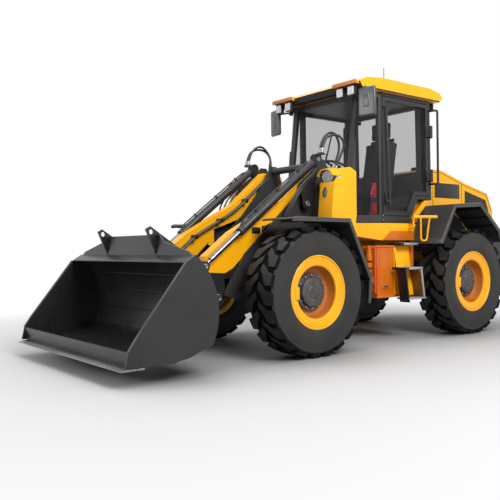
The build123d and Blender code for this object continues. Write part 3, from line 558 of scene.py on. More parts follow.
def pipe_run(points, radius, smooth=True, sides=6):
    """A pipe through its points: a soft curve, or straight runs where smooth is off."""
    clear_selection()
    bpy.ops.curve.primitive_nurbs_path_add()
    run = bpy.context.object
    line = run.data
    line.splines.clear()
    spline = line.splines.new("NURBS" if smooth else "POLY")
    spline.points.add(len(points) - 1)
    for knot, place in zip(spline.points, points):
        knot.co = (*place, 1.0)
    if smooth:
        spline.order_u = 3
        spline.use_endpoint_u = True
    line.dimensions = "3D"
    line.resolution_u = 8
    line.bevel_depth = radius
    line.bevel_resolution = sides // 2
    line.use_fill_caps = True
    bpy.ops.object.convert(target="MESH")
    return bpy.context.object


print("turned pieces and pipes ready")

# %% [markdown]
# The machine is nearly the same on both sides, so most pieces are modelled on the left and mirrored. A
# mirrored mesh is inside out, so its faces are flipped. Bolts repeat too: one head is modelled and copied.

# %% Mirrored pairs, bolts, and shapes counted from the front axle
def mirrored(piece):
    """A copy on the machine's other side."""
    bpy.context.view_layer.update()
    twin = copy_of(piece)
    twin.data.transform(Matrix.Scale(-1.0, 4, (1, 0, 0)) @ piece.matrix_world)
    twin.matrix_world = Matrix.Identity(4)
    twin.data.flip_normals()
    return twin


def bolt_heads(places, direction, across=0.026, tall=0.012):
    """Hexagon bolt heads with broken edges: one is made and copied to every place."""
    clear_selection()
    bpy.ops.mesh.primitive_cylinder_add(vertices=6, radius=across / 2, depth=tall)
    head = bpy.context.object
    use_modifier(head, "BEVEL", width=across * 0.08, segments=1)
    heads = []
    aim = Vector(direction).to_track_quat("Z", "Y").to_matrix().to_4x4()
    for place in places:
        twin = copy_of(head)
        twin.data.transform(Matrix.Translation(Vector(place)) @ aim)
        heads.append(twin)
    bpy.data.objects.remove(head)
    return join(heads)


def axle_block(low, high, edge=0.005, steps=2):
    """A soft block whose corners are counted from the front axle."""
    return soft_block(from_axle(*low), from_axle(*high), edge, steps)


def axle_pipe(points, radius, smooth=True, sides=6):
    """A pipe whose points are counted from the front axle."""
    return pipe_run([from_axle(*point) for point in points], radius, smooth, sides)


def side_pipe(x, outline, radius, smooth=True, sides=6):
    """A pipe that runs at one X, through places given as (y from the front axle, z)."""
    return axle_pipe([(x, y, z) for y, z in outline], radius, smooth, sides)


def settle_pair(part, name, paint, body=None, crease=32.0):
    """Settle a piece together with its copy on the machine's other side."""
    return settle(join([part, mirrored(part)]), name, paint, body, crease)


print("pairs and bolts ready")

# %% [markdown]
# The tyres give the machine its stance, so they come first. A loader's tyre has a smooth sidewall, a thin
# raised ring at the shoulder, and 22 hooked lugs on each side with grooves between them, whose shade is
# painted dark. The carcass is half a profile and its mirror image, turned round the axle.

# %% The carcass of a tyre
CARCASS = [(0.165, 0.338), (0.178, 0.372), (0.190, 0.410), (0.195, 0.450), (0.196, 0.495), (0.193, 0.545),
           (0.189, 0.578), (0.1905, 0.583), (0.1875, 0.589), (0.182, 0.592), (0.172, 0.603), (0.140, 0.608),
           (0.100, 0.611), (0.050, 0.613), (0.0, 0.6135)]
TREAD_FROM = 0.598
profile = CARCASS + [(-x, r) for x, r in reversed(CARCASS[:-1])]
carcass = turned(profile, (0.0, 0.0, 0.0), steps=88)
carcass.data.materials.append(rubber)
carcass.data.materials.append(groove_shade_and_seam_black)
# Carcass faces out past TREAD_FROM lie between the lugs and get the grooves' painted shade.
for face in carcass.data.polygons:
    face.material_index = int(Vector((face.center.y, face.center.z)).length > TREAD_FROM)
print("carcass faces:", len(carcass.data.polygons))

# %% [markdown]
# One lug is drawn flat, as its outline seen from outside, extruded and given a chamfer by an inset. It is
# then cut into strips, so that it can follow the tyre's curve when it is wrapped on.

# %% One lug, still flat
LUGS = 22
GROOVE, CROWN = 0.590, tyre_radius
CHAMFER = 0.008
LUG_LENGTH = 0.214
LUG_OUTLINE = [(0.188, 0.000), (0.188, 0.112), (0.118, 0.136), (0.088, 0.172), (0.014, LUG_LENGTH),
               (0.008, 0.146), (0.052, 0.108), (0.078, 0.060), (0.104, 0.006)]
STRIPS = 7
clear_selection()
bpy.ops.mesh.primitive_circle_add(vertices=len(LUG_OUTLINE), radius=1.0, fill_type="NGON")
lug = bpy.context.object
for corner, (x, arc) in zip(lug.data.vertices, LUG_OUTLINE):
    corner.co = (x, arc, GROOVE)
open_for_edit(lug)
bpy.ops.mesh.extrude_region_move(TRANSFORM_OT_translate={"value": (0.0, 0.0, CROWN - CHAMFER - GROOVE)})
bpy.ops.mesh.inset(thickness=0.005, depth=CHAMFER)
for k in range(1, STRIPS):
    bpy.ops.mesh.select_all(action="SELECT")
    bpy.ops.mesh.bisect(plane_co=(0.0, LUG_LENGTH * k / STRIPS, 0.0), plane_no=(0.0, 1.0, 0.0))
bpy.ops.mesh.select_all(action="SELECT")
bpy.ops.mesh.normals_make_consistent(inside=False)
bpy.ops.object.mode_set(mode="OBJECT")
lug.data.materials.append(rubber)
lug.data.materials.append(groove_shade_and_seam_black)
# The lug's sides get the grooves' painted shade; only its top keeps the lighter rubber.
for face in lug.data.polygons:
    face.material_index = int(face.normal.z < 0.3)
print("lug faces:", len(lug.data.polygons))

# %% [markdown]
# The same lug goes round both sides of the tyre. The other side is its mirror image, half a pitch on, so
# the hooks interlock in the middle. The finished tyre is copied to the four hubs.

# %% Four tyres
ARC_RADIUS = 0.63
TOP_FROM = 0.62
CROWN_DROP, HALF_TREAD = 0.004, 0.19
pitch = tau / LUGS


def wrap(piece, flip, start):
    """Take a flat lug (x, arc, height) on to the tyre. Its top drops a little towards the shoulder."""
    for corner in piece.data.vertices:
        x, arc, height = corner.co
        crown = CROWN - CROWN_DROP * (abs(x) / HALF_TREAD) ** 3 if height > TOP_FROM else height
        angle = start - arc / ARC_RADIUS
        corner.co = (-x if flip else x, crown * sin(angle), -crown * cos(angle))


lugs = []
for flip in (False, True):
    for k in range(LUGS):
        twin = copy_of(lug)
        wrap(twin, flip, (k + (0.5 if flip else 0.0)) * pitch)
        lugs.append(twin)
bpy.data.objects.remove(lug)
tread = join(lugs)
open_for_edit(tread)
bpy.ops.mesh.normals_make_consistent(inside=False)
bpy.ops.object.mode_set(mode="OBJECT")
tyre = join([carcass, tread])
for wheel in WHEELS:
    piece = copy_of(tyre)
    piece.location = wheel_centre[wheel]
    settle(piece, f"{wheel}_treaded_tyre", rubber, f"wheel_{wheel}", crease=28.0)
    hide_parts(f"{wheel}_tyre")
bpy.data.objects.remove(tyre)
print("tyre triangles:", sum(len(face.vertices) - 2 for face in piece.data.polygons))

# %% [markdown]
# A loader's rim is a deep steel dish. Its outer ring is bright yellow, the dish inside carries painted shade
# as a brown-orange paint with a dusty mottle, and the hub in the middle is a dark cast drum. The three are
# separate turned pieces, because they have different finishes. A small guard over the valve joins the rim.

# %% Profiles of the rim, the dish and the hub
RIM = [(-0.175, 0.320), (-0.175, 0.366), (-0.167, 0.366), (-0.160, 0.3335), (0.160, 0.3335), (0.166, 0.366),
       (0.175, 0.367), (0.178, 0.363), (0.178, 0.353), (0.172, 0.349), (0.168, 0.346), (0.168, 0.341),
       (0.172, 0.337), (0.170, 0.328), (0.158, 0.290), (0.156, 0.272), (0.150, 0.262), (0.138, 0.259),
       (0.020, 0.262), (-0.02, 0.300), (-0.175, 0.310)]
DISH = [(0.140, 0.262), (0.137, 0.257), (0.070, 0.252), (0.044, 0.236), (0.036, 0.205), (0.040, 0.184),
        (0.030, 0.175), (0.020, 0.180), (0.026, 0.262)]
HUB = [(0.030, 0.0), (0.030, 0.186), (0.060, 0.188), (0.066, 0.183), (0.066, 0.152), (0.080, 0.148),
       (0.096, 0.143), (0.101, 0.134), (0.101, 0.066), (0.106, 0.060), (0.108, 0.050), (0.106, 0.0)]
rim = turned(RIM, (0, 0, 0), steps=72)
dish = turned(DISH, (0, 0, 0), steps=72)
hub = turned(HUB, (0, 0, 0), steps=48)
valve_guard = soft_block((0.148, -0.292, -0.062), (0.168, -0.243, 0.062), 0.007)
rim = join([rim, valve_guard])
print("rim faces:", len(rim.data.polygons), "hub faces:", len(hub.data.polygons))

# %% [markdown]
# Twelve wheel nuts stand round the hub, and six small bolts close its end. One wheel's set is modelled and
# copied. A wheel on the right is the same wheel turned half round, so its dish also faces outwards.

# %% Nuts, and four finished wheels
NUTS, NUT_X, NUT_CIRCLE = 12, 0.071, 0.168
CAP_BOLTS, CAP_X = 6, 0.103
spots = [(NUT_X, NUT_CIRCLE * sin(k * tau / NUTS), NUT_CIRCLE * cos(k * tau / NUTS)) for k in range(NUTS)]
nuts = bolt_heads(spots, (1, 0, 0), 0.024, 0.016)
turns = [k * tau / CAP_BOLTS + 0.3 for k in range(CAP_BOLTS)]
cap_bolts = bolt_heads([(CAP_X, 0.100 * sin(t), 0.084 * cos(t)) for t in turns], (1, 0, 0), 0.016, 0.01)
nuts = join([nuts, cap_bolts])
for wheel in WHEELS:
    for name, part, paint in (("rim", rim, yellow), ("dish", dish, dish_painted_shade), ("hub", hub, hub_iron),
                              ("nuts", nuts, steel)):
        piece = copy_of(part)
        if wheel.endswith("right"):
            piece.data.transform(Matrix.Rotation(pi, 4, "Z"))
        piece.location = wheel_centre[wheel]
        settle(piece, f"{wheel}_wheel_{name}", paint, f"wheel_{wheel}")
        if name == "rim":
            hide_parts(f"{wheel}_rim")
for part in (rim, dish, hub, nuts):
    bpy.data.objects.remove(part)
print("wheels finished:", len(WHEELS))

# %% [markdown]
# A few more places come straight from the frame: the outer faces of the arms and of the tower's plates.

# %% Faces of the arms and the tower
ARM_THICKNESS = 0.116
PLATE_STEP = 0.026


def middle_of_side(node):
    """The middle X of the left one of a node's two mirrored solids."""
    xs = [v.co.x for v in nodes[node].data.vertices if v.co.x > 0.0]
    return (min(xs) + max(xs)) / 2


arm_outer_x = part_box("lift_arms")[1].x
arm_inner_x = arm_outer_x - ARM_THICKNESS
tower_plate_x = arm_outer_x + PLATE_STEP
print("arm faces:", round(arm_inner_x, 3), round(arm_outer_x, 3), "tower plate:", round(tower_plate_x, 3))

# %% [markdown]
# Each big ram of the loader has a gland with a thick collar where its rod comes out, and a tilt ram carries
# its oil pipe along its barrel. The rams are straight, so all of this is laid out once along the ram's own
# line, which is taken from the joints, and copied to the other side.

# %% A ram's line and the collars round it
def ram_line(barrel_joint, rod_joint, x):
    """The ram's two ends at one X: its barrel's pivot and its rod's eye."""
    a, b = pivot(barrel_joint), pivot(rod_joint)
    return Vector((x, a.y, a.z)), Vector((x, b.y, b.z))


def beside(line, distance, offset):
    """The place at a distance along a line, moved off it by an offset."""
    start, end = line
    return start + (end - start).normalized() * distance + Vector(offset)


def collar(line, distance, radius, length, edge=0.003):
    """A short cylinder round a line, with its middle at a distance along it."""
    start, end = line
    way = (end - start).normalized()
    clear_selection()
    bpy.ops.mesh.primitive_cylinder_add(vertices=40, radius=radius, depth=length)
    ring = bpy.context.object
    use_modifier(ring, "BEVEL", width=edge, segments=2, limit_method="ANGLE", angle_limit=radians(40))
    aim = way.to_track_quat("Z", "Y").to_matrix().to_4x4()
    ring.data.transform(Matrix.Translation(start + way * distance) @ aim)
    return ring


tilt = ram_line("tilt_barrel", "tilt_rod", middle_of_side("tilt_barrels"))
lift = ram_line("lift_barrel", "lift_rod", middle_of_side("lift_barrels"))
print("tilt ram length:", round((tilt[1] - tilt[0]).length, 3))

# %% [markdown]
# The oil pipe of a tilt ram leaves the barrel near its closed end, runs along it at a small distance and
# turns in again at the gland. Three bands hold it, each with a block that clips the pipe.

# %% Ram glands, pipes and bands
for line, body, barrel_radius, gland_at in ((tilt, "tilt_barrel", 0.045, 1.295),
                                            (lift, "lift_barrel", 0.050, 0.786)):
    gland = join([collar(line, gland_at, barrel_radius + 0.0008, 0.046),
                  collar(line, gland_at - 0.03, barrel_radius + 0.0020, 0.012)])
    settle_pair(gland, f"{body}_glands", charcoal, body)
up = Vector((0.0, -0.6, 0.8))
pipe_side = up * 0.062
pipe_places = [(0.14, up * 0.045), (0.16, pipe_side), (0.60, pipe_side), (1.10, pipe_side), (1.24, pipe_side),
               (1.27, up * 0.044)]
steel_pipe = pipe_run([beside(tilt, distance, offset) for distance, offset in pipe_places], 0.0085)
BANDS_AT = (0.30, 0.66, 1.02)
bands = [collar(tilt, distance, 0.0475, 0.018, 0.002) for distance in BANDS_AT]
half_clip = Vector((0.014, 0.012, 0.012))
for distance in BANDS_AT:
    spot = beside(tilt, distance, pipe_side)
    bands.append(soft_block(spot - half_clip, spot + half_clip, 0.003))
settle_pair(steel_pipe, "tilt_ram_pipes", black, "tilt_barrel")
settle_pair(join(bands), "tilt_ram_bands", black, "tilt_barrel")
print("bands on each tilt ram:", len(BANDS_AT))

# %% [markdown]
# Two hoses rise from the tower to the top of each tilt ram and dip back down in a loop, so that the ram
# can swing without pulling them tight. They end in plated fittings on a small stand.

# %% Hose loops over the tower
hoses, ferrules = [], []
for k, (x, y, top) in enumerate(((0.624, 0.800, 2.330), (0.662, 0.840, 2.300))):
    drop = from_axle(x - 0.075, 0.745, 1.960 - 0.02 * k)
    rise = from_axle(x, 0.470, 2.106)
    route = [drop, from_axle(x - 0.050, 0.790, 2.070), from_axle(x - 0.020, y, 2.210),
             from_axle(x, y - 0.090, top), from_axle(x, 0.600, top - 0.006), from_axle(x, 0.500, 2.230), rise]
    hoses.append(pipe_run(route, 0.013))
    for end, aim in ((drop, route[1]), (rise, route[-2])):
        ferrules.append(collar((end, aim), 0.012, 0.0165, 0.046, 0.003))
        ferrules.append(collar((end, aim), -0.010, 0.0205, 0.018, 0.002))
for name, part, paint in (("tower_hose_loops", join(hoses), hose_rubber),
                          ("tower_hose_ferrules", join(ferrules), steel)):
    piece = settle_pair(part, name, paint)
    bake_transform(piece)
stand = axle_block((0.584, 0.448, 2.066), (0.684, 0.492, 2.088), 0.004)
settle_pair(stand, "hose_stands", black, "levers")
print("hose loops:", len(hoses) * 2)

# %% [markdown]
# More hoses run along the inside of each lift arm to the bucket's carrier, and others come down beside the
# tower. They lie in tidy bundles of three, and black clamps hold those of the arms.

# %% Hoses along the arms
IN_BUNDLE = 3
HOSE = 0.010
ARM_ROUTE = [(0.520, 1.905), (0.300, 1.735), (0.060, 1.520), (-0.300, 1.330), (-0.560, 1.190),
             (-0.700, 1.060)]
bundle = join([side_pipe(arm_inner_x - 0.022 - 0.024 * k, ARM_ROUTE, HOSE) for k in range(IN_BUNDLE)])
settle_pair(bundle, "arm_hoses", hose_rubber, "arms")
clamps = []
for y, z in ((0.180, 1.630), (-0.180, 1.395), (-0.520, 1.212)):
    low, high = (arm_inner_x - 0.088, y - 0.02, z - 0.028), (arm_inner_x - 0.001, y + 0.02, z + 0.02)
    clamps.append(axle_block(low, high, 0.004))
clamps.append(axle_block((arm_outer_x - 0.02, -0.360, 1.225), (arm_outer_x + 0.004, -0.250, 1.290), 0.004))
side_hoses = []
for k in range(IN_BUNDLE):
    x = 0.590 + 0.022 * k
    upper, lower = 0.03 * k, 0.04 * k
    route = [(x - 0.04, 0.500 - upper, 1.930), (x, 0.400 - upper, 1.840), (x + 0.015, 0.240 - lower, 1.720),
             (x + 0.010, 0.120 - lower, 1.560), (x - 0.030, 0.060 - lower, 1.400)]
    side_hoses.append(axle_pipe(route, HOSE))
settle_pair(join(side_hoses), "tower_side_hoses", hose_rubber, "front_frame")
settle_pair(join(clamps), "arm_hose_clamps", black, "arms")
print("arm hoses:", IN_BUNDLE * 2, "clamps on each side:", len(clamps))

# %% [markdown]
# Every pivot of the loader ends in a round cap with a bolted retaining plate. The caps are turned pieces of
# one profile at several scales, and each has three black bolts.

# %% Pivot caps and their bolts
CAP = [(0.0, 0.0), (0.0, 0.046), (0.010, 0.046), (0.015, 0.041), (0.015, 0.020), (0.012, 0.016), (0.012, 0.0)]
BOLTS = 3


def pivot_cap(joint, x, scale, name, body):
    place = pivot(joint)
    cap = turned([(along * scale, r * scale) for along, r in CAP], (x, place.y, place.z), steps=40)
    settle_pair(cap, name, steel, body)
    ring = 0.030 * scale
    turns = [k * tau / BOLTS for k in range(BOLTS)]
    spots = [(x + 0.0125 * scale, place.y + ring * cos(t), place.z + ring * sin(t)) for t in turns]
    bolts = bolt_heads(spots, (1, 0, 0), 0.012 * scale, 0.008 * scale)
    settle_pair(bolts, f"{name}_bolts", black, body)


tower_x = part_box("front_chassis")[1].x
pivot_cap("arms", tower_plate_x, 1.15, "arm_pivot_caps", "front_frame")
pivot_cap("lift_barrel", tower_plate_x, 0.8, "lift_ram_caps", "front_frame")
pivot_cap("levers", tower_x - 0.001, 0.72, "lever_pivot_caps", "front_frame")
pivot_cap("tilt_barrel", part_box("tilt_levers")[1].x, 0.62, "tilt_head_caps", "levers")
pivot_cap("tilt_rod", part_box("bucket_carrier")[1].x, 0.62, "tilt_eye_caps", "bucket")
pivot_cap("bucket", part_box("arm_noses")[1].x + 0.004, 0.9, "bucket_pivot_caps", "level_pins")
print("pivot caps finished, bolts on each:", BOLTS)

# %% [markdown]
# The cab looks plain until it has its outside fittings. Its work lamps come first: square housings with a
# pale lens, whose face is inset and crossed by five ribs. One more lamp on each side looks to the rear.

# %% Work lamps
LAMP_X = (0.4515, 0.623)
RIBS = 5
housings, lenses = [], []
for x in LAMP_X:
    housings.append(axle_block((x - 0.052, 0.964, 2.776), (x + 0.052, 1.014, 2.885), 0.007))
    housings.append(axle_block((x - 0.016, 0.970, 2.884), (x + 0.016, 1.000, 2.899), 0.003))
    lens = axle_block((x - 0.045, 0.956, 2.784), (x + 0.045, 0.968, 2.877), 0.005)
    inset_faces(lens, lambda middle, normal: normal.y < -0.9, 0.008, -0.003)
    lenses.append(lens)
    for k in range(RIBS):
        rib_x = x - 0.030 + 0.015 * k
        lenses.append(axle_block((rib_x - 0.003, 0.9555, 2.796), (rib_x + 0.003, 0.962, 2.865), 0.0015))
housings.append(axle_block((0.560, 2.386, 2.772), (0.660, 2.424, 2.860), 0.008))
lenses.append(axle_block((0.568, 2.420, 2.780), (0.652, 2.434, 2.852), 0.004))
piece = settle_pair(join(housings), "work_lamp_housings", plastic, "rear_frame")
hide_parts("work_lamps")
settle_pair(join(lenses), "work_lamp_lenses", lamp_lens, "rear_frame")
print("work lamps:", 2 * (len(LAMP_X) + 1))

# %% [markdown]
# The roof has visors over its lamps, whose brown front faces are painted shade, a dark band over the
# windscreen and a gutter along each side.
# They are thin plates that lie on the roof's faces, so each is a short outline seen from the side.

# %% Roof trim
ROOF_HALF = 0.731
visor = [axle_block((0.356, 0.939, 2.897), (0.719, 0.960, 2.940), 0.004),
         side_plate([(0.950, 2.8985), (1.045, 2.8985), (1.045, 2.9015), (0.950, 2.9015)], 0.362, 0.713, 0.0)]
settle_pair(join(visor), "roof_visor_trim", brown_painted_shade, "rear_frame")
band = side_plate([(1.0385, 2.8615), (0.9965, 2.9235), (0.9935, 2.9225), (1.0355, 2.8605)],
                  -ROOF_HALF, ROOF_HALF, 0.0)
gutter = axle_block((0.733, 1.060, 2.8625), (0.741, 2.430, 2.878), 0.003)
under = side_plate([(1.036, 2.8618), (1.126, 2.8580), (1.126, 2.8610), (1.036, 2.8648)],
                   -ROOF_HALF, ROOF_HALF, 0.0)
settle(join([band, under, gutter, mirrored(gutter)]), "roof_dark_band", plastic, "rear_frame")
print("roof trim ready")

# %% [markdown]
# A mirror head is a block with very round corners and a shallow pocket for its glass. Its arm is one bent
# tube with a clamp at the head and a foot on the cab's post.

# %% Mirrors
mirror_place = Matrix.Translation(from_axle(0.787, 1.055, 2.690)) @ Matrix.Rotation(radians(12), 4, "Z")
shell = soft_block((-0.1075, -0.025, -0.165), (0.1075, 0.025, 0.165), 0.022, 5)
inset_faces(shell, lambda middle, normal: normal.y > 0.95, 0.010, -0.006)
rib = soft_block((-0.035, -0.031, -0.060), (0.035, -0.018, 0.075), 0.008, 3)
shell = join([shell, rib])
shell.data.transform(mirror_place)
arm = axle_pipe([(0.592, 1.149, 2.800), (0.640, 1.130, 2.802), (0.700, 1.105, 2.802), (0.770, 1.083, 2.798),
                 (0.788, 1.079, 2.780), (0.788, 1.079, 2.690)], 0.011)
foot = axle_block((0.588, 1.118, 2.765), (0.602, 1.180, 2.835), 0.004)
clamp = axle_block((0.768, 1.050, 2.676), (0.808, 1.094, 2.716), 0.006)
piece = settle_pair(join([shell, arm, foot, clamp]), "mirror_heads", mirror_shell, "rear_frame", crease=40.0)
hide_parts("mirrors")
glass = soft_block((-0.094, 0.0175, -0.150), (0.094, 0.0205, 0.150), 0.001, 1)
glass.data.transform(mirror_place)
settle_pair(glass, "mirror_glasses", chrome, "rear_frame")
print("mirrors ready")

# %% [markdown]
# The door carries its hinge covers, a handle and the round feet of its grab bar. Two bolts hold the foot of
# the post ahead of it. All parts of the door ride with it, and the post's parts stay on the cab.

# %% Door fittings and the post beside it
door_x = 0.690
PIN = [(0.0, 0.0), (0.0, 0.017), (0.004, 0.021), (0.146, 0.021), (0.150, 0.017), (0.150, 0.0)]
covers = []
for z in (1.868, 2.408):
    covers.append(turned(PIN, from_axle(0.712, 2.290, z), axis="Z", steps=24))
    covers.append(axle_block((door_x + 0.001, 2.200, z + 0.006), (door_x + 0.024, 2.284, z + 0.144), 0.006))
handle = [axle_block((door_x + 0.001, 1.436, 1.560), (door_x + 0.020, 1.472, 1.700), 0.006),
          axle_pipe([(0.700, 1.440, 1.600), (0.738, 1.452, 1.600), (0.738, 1.520, 1.600)], 0.009)]
settle(join(covers + handle), "door_hinge_covers", black, "door")
POST = [(1.392, 1.352), (1.4155, 1.352), (1.4155, 2.850), (1.392, 2.850)]
post_cover = side_plate(POST, door_x - 0.002, door_x + 0.0035, 0.002)
settle_pair(post_cover, "post_covers", black, "rear_frame")
bolts = bolt_heads([from_axle(0.694, 1.403, z) for z in (1.385, 1.435)], (1, 0, 0), 0.024, 0.010)
settle(bolts, "post_bolts", steel, "rear_frame")
grab_ends = [collar((from_axle(0.694, y, z), from_axle(0.730, y, z)), 0.003, 0.020, 0.008)
             for y, z in ((1.440, 2.690), (1.485, 1.530))]
settle(join(grab_ends), "door_grab_feet", charcoal, "door")
print("door fittings ready at x", door_x)

# %% [markdown]
# Rubber seals run round the door's pane and round the windscreen. A seal is a thin pipe with a square
# section that follows its pane's corners and closes on itself.

# %% Seals
DOOR_PANE = [(1.471, 1.486), (1.842, 1.486), (1.986, 1.739), (2.216, 1.739), (2.216, 2.768), (1.471, 2.768)]
door_seal = side_pipe(door_x + 0.0005, DOOR_PANE + DOOR_PANE[:2], 0.006, smooth=False, sides=4)
settle(door_seal, "door_seal", hose_rubber, "door")
half = 0.478
screen = [(-half, 0.972, 1.454), (half, 0.972, 1.454), (half, 1.048, 1.955), (half, 1.147, 2.796),
          (-half, 1.147, 2.796), (-half, 1.048, 1.955), (-half, 0.972, 1.454)]
settle(axle_pipe(screen, 0.006, smooth=False, sides=4), "windscreen_seal", hose_rubber, "rear_frame")
print("seals ready, corners:", len(DOOR_PANE), len(screen) - 1)

# %% [markdown]
# A wiper lies on the windscreen: an arm, a blade and a motor cover. The aerial stands in a small turned
# rubber foot on the roof.

# %% Wiper and aerial foot
wiper = [axle_pipe([(0.02, 0.940, 1.420), (0.10, 0.990, 1.800), (0.16, 1.030, 2.180)], 0.006, smooth=False),
         axle_pipe([(0.10, 0.995, 1.850), (0.22, 1.066, 2.420)], 0.009, smooth=False, sides=4),
         axle_block((-0.03, 0.925, 1.395), (0.07, 0.958, 1.440), 0.006)]
settle(join(wiper), "wiper", black, "rear_frame")
aerial_foot = turned([(0.0, 0.0), (0.0, 0.022), (0.012, 0.016), (0.040, 0.009), (0.052, 0.0)],
                     from_axle(0.400, 1.790, 3.041), axis="Z", steps=24)
settle(aerial_foot, "aerial_foot", plastic, "rear_frame")
print("wiper and aerial foot ready")

# %% [markdown]
# The headlamp is an oval glass with a dark rim and a bright fluted bowl behind it. It starts as round
# turned pieces that are squeezed to the oval of the lamp and leaned back.

# %% Headlamps
LAMP = Vector((0.800, 0.450, 1.824))
FLUTES = 7
lamp_turn = Matrix.Rotation(radians(8), 4, "X")


def as_lamp(piece):
    """Squeeze a round piece to the lamp's oval and take it to the lamp's place."""
    oval = Matrix.Diagonal((1.12, 1.35, 0.82, 1.0))
    piece.data.transform(Matrix.Translation(from_axle(*LAMP)) @ lamp_turn @ oval)
    return piece


bowl = [turned([(0.040, 0.0), (0.040, 0.098), (-0.020, 0.098), (-0.020, 0.088), (0.012, 0.060),
                (0.022, 0.022), (0.024, 0.0)], (0, 0, 0), axis="Y", steps=20)]
rim_ring = turned([(-0.012, 0.0995), (-0.034, 0.0995), (-0.038, 0.096), (-0.038, 0.088), (-0.030, 0.084),
                   (-0.012, 0.086)], (0, 0, 0), axis="Y", steps=56)
cover = turned([(-0.026, 0.085), (-0.031, 0.070), (-0.036, 0.040), (-0.038, 0.0), (-0.034, 0.0),
                (-0.032, 0.040), (-0.027, 0.070), (-0.023, 0.084)], (0, 0, 0), axis="Y", steps=40)
for k in range(FLUTES):
    x = -0.066 + 0.022 * k
    half = 0.075 - 0.010 * abs(k - 3)
    bowl.append(soft_block((x - 0.005, -0.021, -half), (x + 0.005, -0.017, half), 0.0018))
piece = settle_pair(as_lamp(join(bowl)), "headlamp_bowls", lamp_bowl_painted_glints, "front_frame", crease=12.0)
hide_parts("headlamps")
settle_pair(as_lamp(rim_ring), "headlamp_rims", charcoal, "front_frame")
settle_pair(as_lamp(cover), "headlamp_covers", lens_glass, "front_frame")
print("headlamps ready, flutes in each:", FLUTES)

# %% [markdown]
# A dark indicator sits below each headlamp. It is made in the same way, with an oval that stands upright.

# %% Indicators
indicator = turned([(0.030, 0.0), (0.030, 0.044), (-0.004, 0.050), (-0.010, 0.046), (-0.013, 0.034),
                    (-0.015, 0.0)], (0, 0, 0), axis="Y", steps=40)
upright = Matrix.Rotation(radians(-12), 4, "X") @ Matrix.Diagonal((0.55, 1.0, 1.15, 1.0))
indicator.data.transform(Matrix.Translation(from_axle(0.782, 0.393, 1.655)) @ upright)
settle_pair(indicator, "indicators", mirror_shell, "front_frame")
print("indicators ready")

# %% [markdown]
# The way up to the cab is a ladder on the tank. Its treads are bare pressed metal with raised rows of grip.
# A tread is a soft block with a row of smaller ones along it, so one function makes all three.

# %% Ladder treads
def tread(x0, x1, y0, y1, z0, z1, teeth):
    """A metal tread with raised rows of grip along it."""
    pieces = [axle_block((x0, y0, z0), (x1, y1, z1), 0.004)]
    for k in range(teeth):
        x = x0 + (k + 0.5) * (x1 - x0) / teeth
        low, high = (x - 0.006, y0 + 0.012, z1 - 0.001), (x + 0.006, y1 - 0.012, z1 + 0.004)
        pieces.append(axle_block(low, high, 0.002))
    return pieces


treads = tread(0.700, 0.873, 1.556, 1.814, 1.091, 1.115, 7)
treads += tread(0.790, 0.983, 1.500, 1.758, 0.811, 0.836, 8)
treads += tread(0.800, 0.983, 1.500, 1.815, 0.469, 0.488, 8)
print("tread pieces:", len(treads))

# %% [markdown]
# The ladder's front plate is black and its rear plate has worn brown, with a bright edge. A sloping yellow
# panel closes the space behind the treads, and a yellow sleeve covers the rail at the landing.

# %% Ladder plates, panel and sleeve
dark = [axle_block((0.788, 1.437, 0.808), (0.984, 1.502, 0.838), 0.004),
        axle_block((0.700, 1.500, 1.088), (0.874, 1.560, 1.117), 0.004),
        side_plate([(1.443, 0.812), (1.467, 0.812), (1.522, 0.440), (1.498, 0.440)], 0.848, 0.978, 0.003)]
brown = side_plate([(1.718, 0.812), (1.742, 0.812), (1.797, 0.470), (1.773, 0.470)], 0.762, 0.968, 0.003)
slope = soft_block((-0.005, -0.128, -0.285), (0.005, 0.128, 0.285), 0.003)
slope_place = Matrix.Translation(from_axle(0.802, 1.628, 0.790))
slope.data.transform(slope_place @ Matrix.Rotation(radians(-7.0), 4, "Y"))
settle(slope, "ladder_sloping_panel", yellow, "rear_frame")
sleeve = axle_pipe([(0.828, 1.776, 1.420), (0.962, 2.052, 1.420)], 0.019, smooth=False, sides=6)
settle(sleeve, "landing_rail_sleeve", yellow, "rear_frame")
bright = side_plate([(1.716, 0.834), (1.744, 0.834), (1.799, 0.470), (1.771, 0.470)], 0.966, 0.980, 0.003)
settle(join(treads + [bright]), "ladder_treads", tread_plate, "rear_frame")
settle(join(dark), "ladder_dark_plates", black, "rear_frame")
settle(brown, "ladder_worn_plate", worn_brown, "rear_frame")
spots = [(0.880, 1.501, 0.465), (0.940, 1.501, 0.465), (0.958, 1.716, 0.790), (0.905, 1.716, 0.800)]
bolts = bolt_heads([from_axle(*spot) for spot in spots], (0, -1, 0), 0.022, 0.012)
settle(bolts, "ladder_bolts", steel, "rear_frame")
print("ladder bolts:", len(spots))

# %% [markdown]
# The tank beside the ladder has orange paint, which is painted shade and a painted reflection of the yellow
# machine in the shade. A red strip marks its front corner. Ledges, a raised panel and a filler cover break up
# its side.

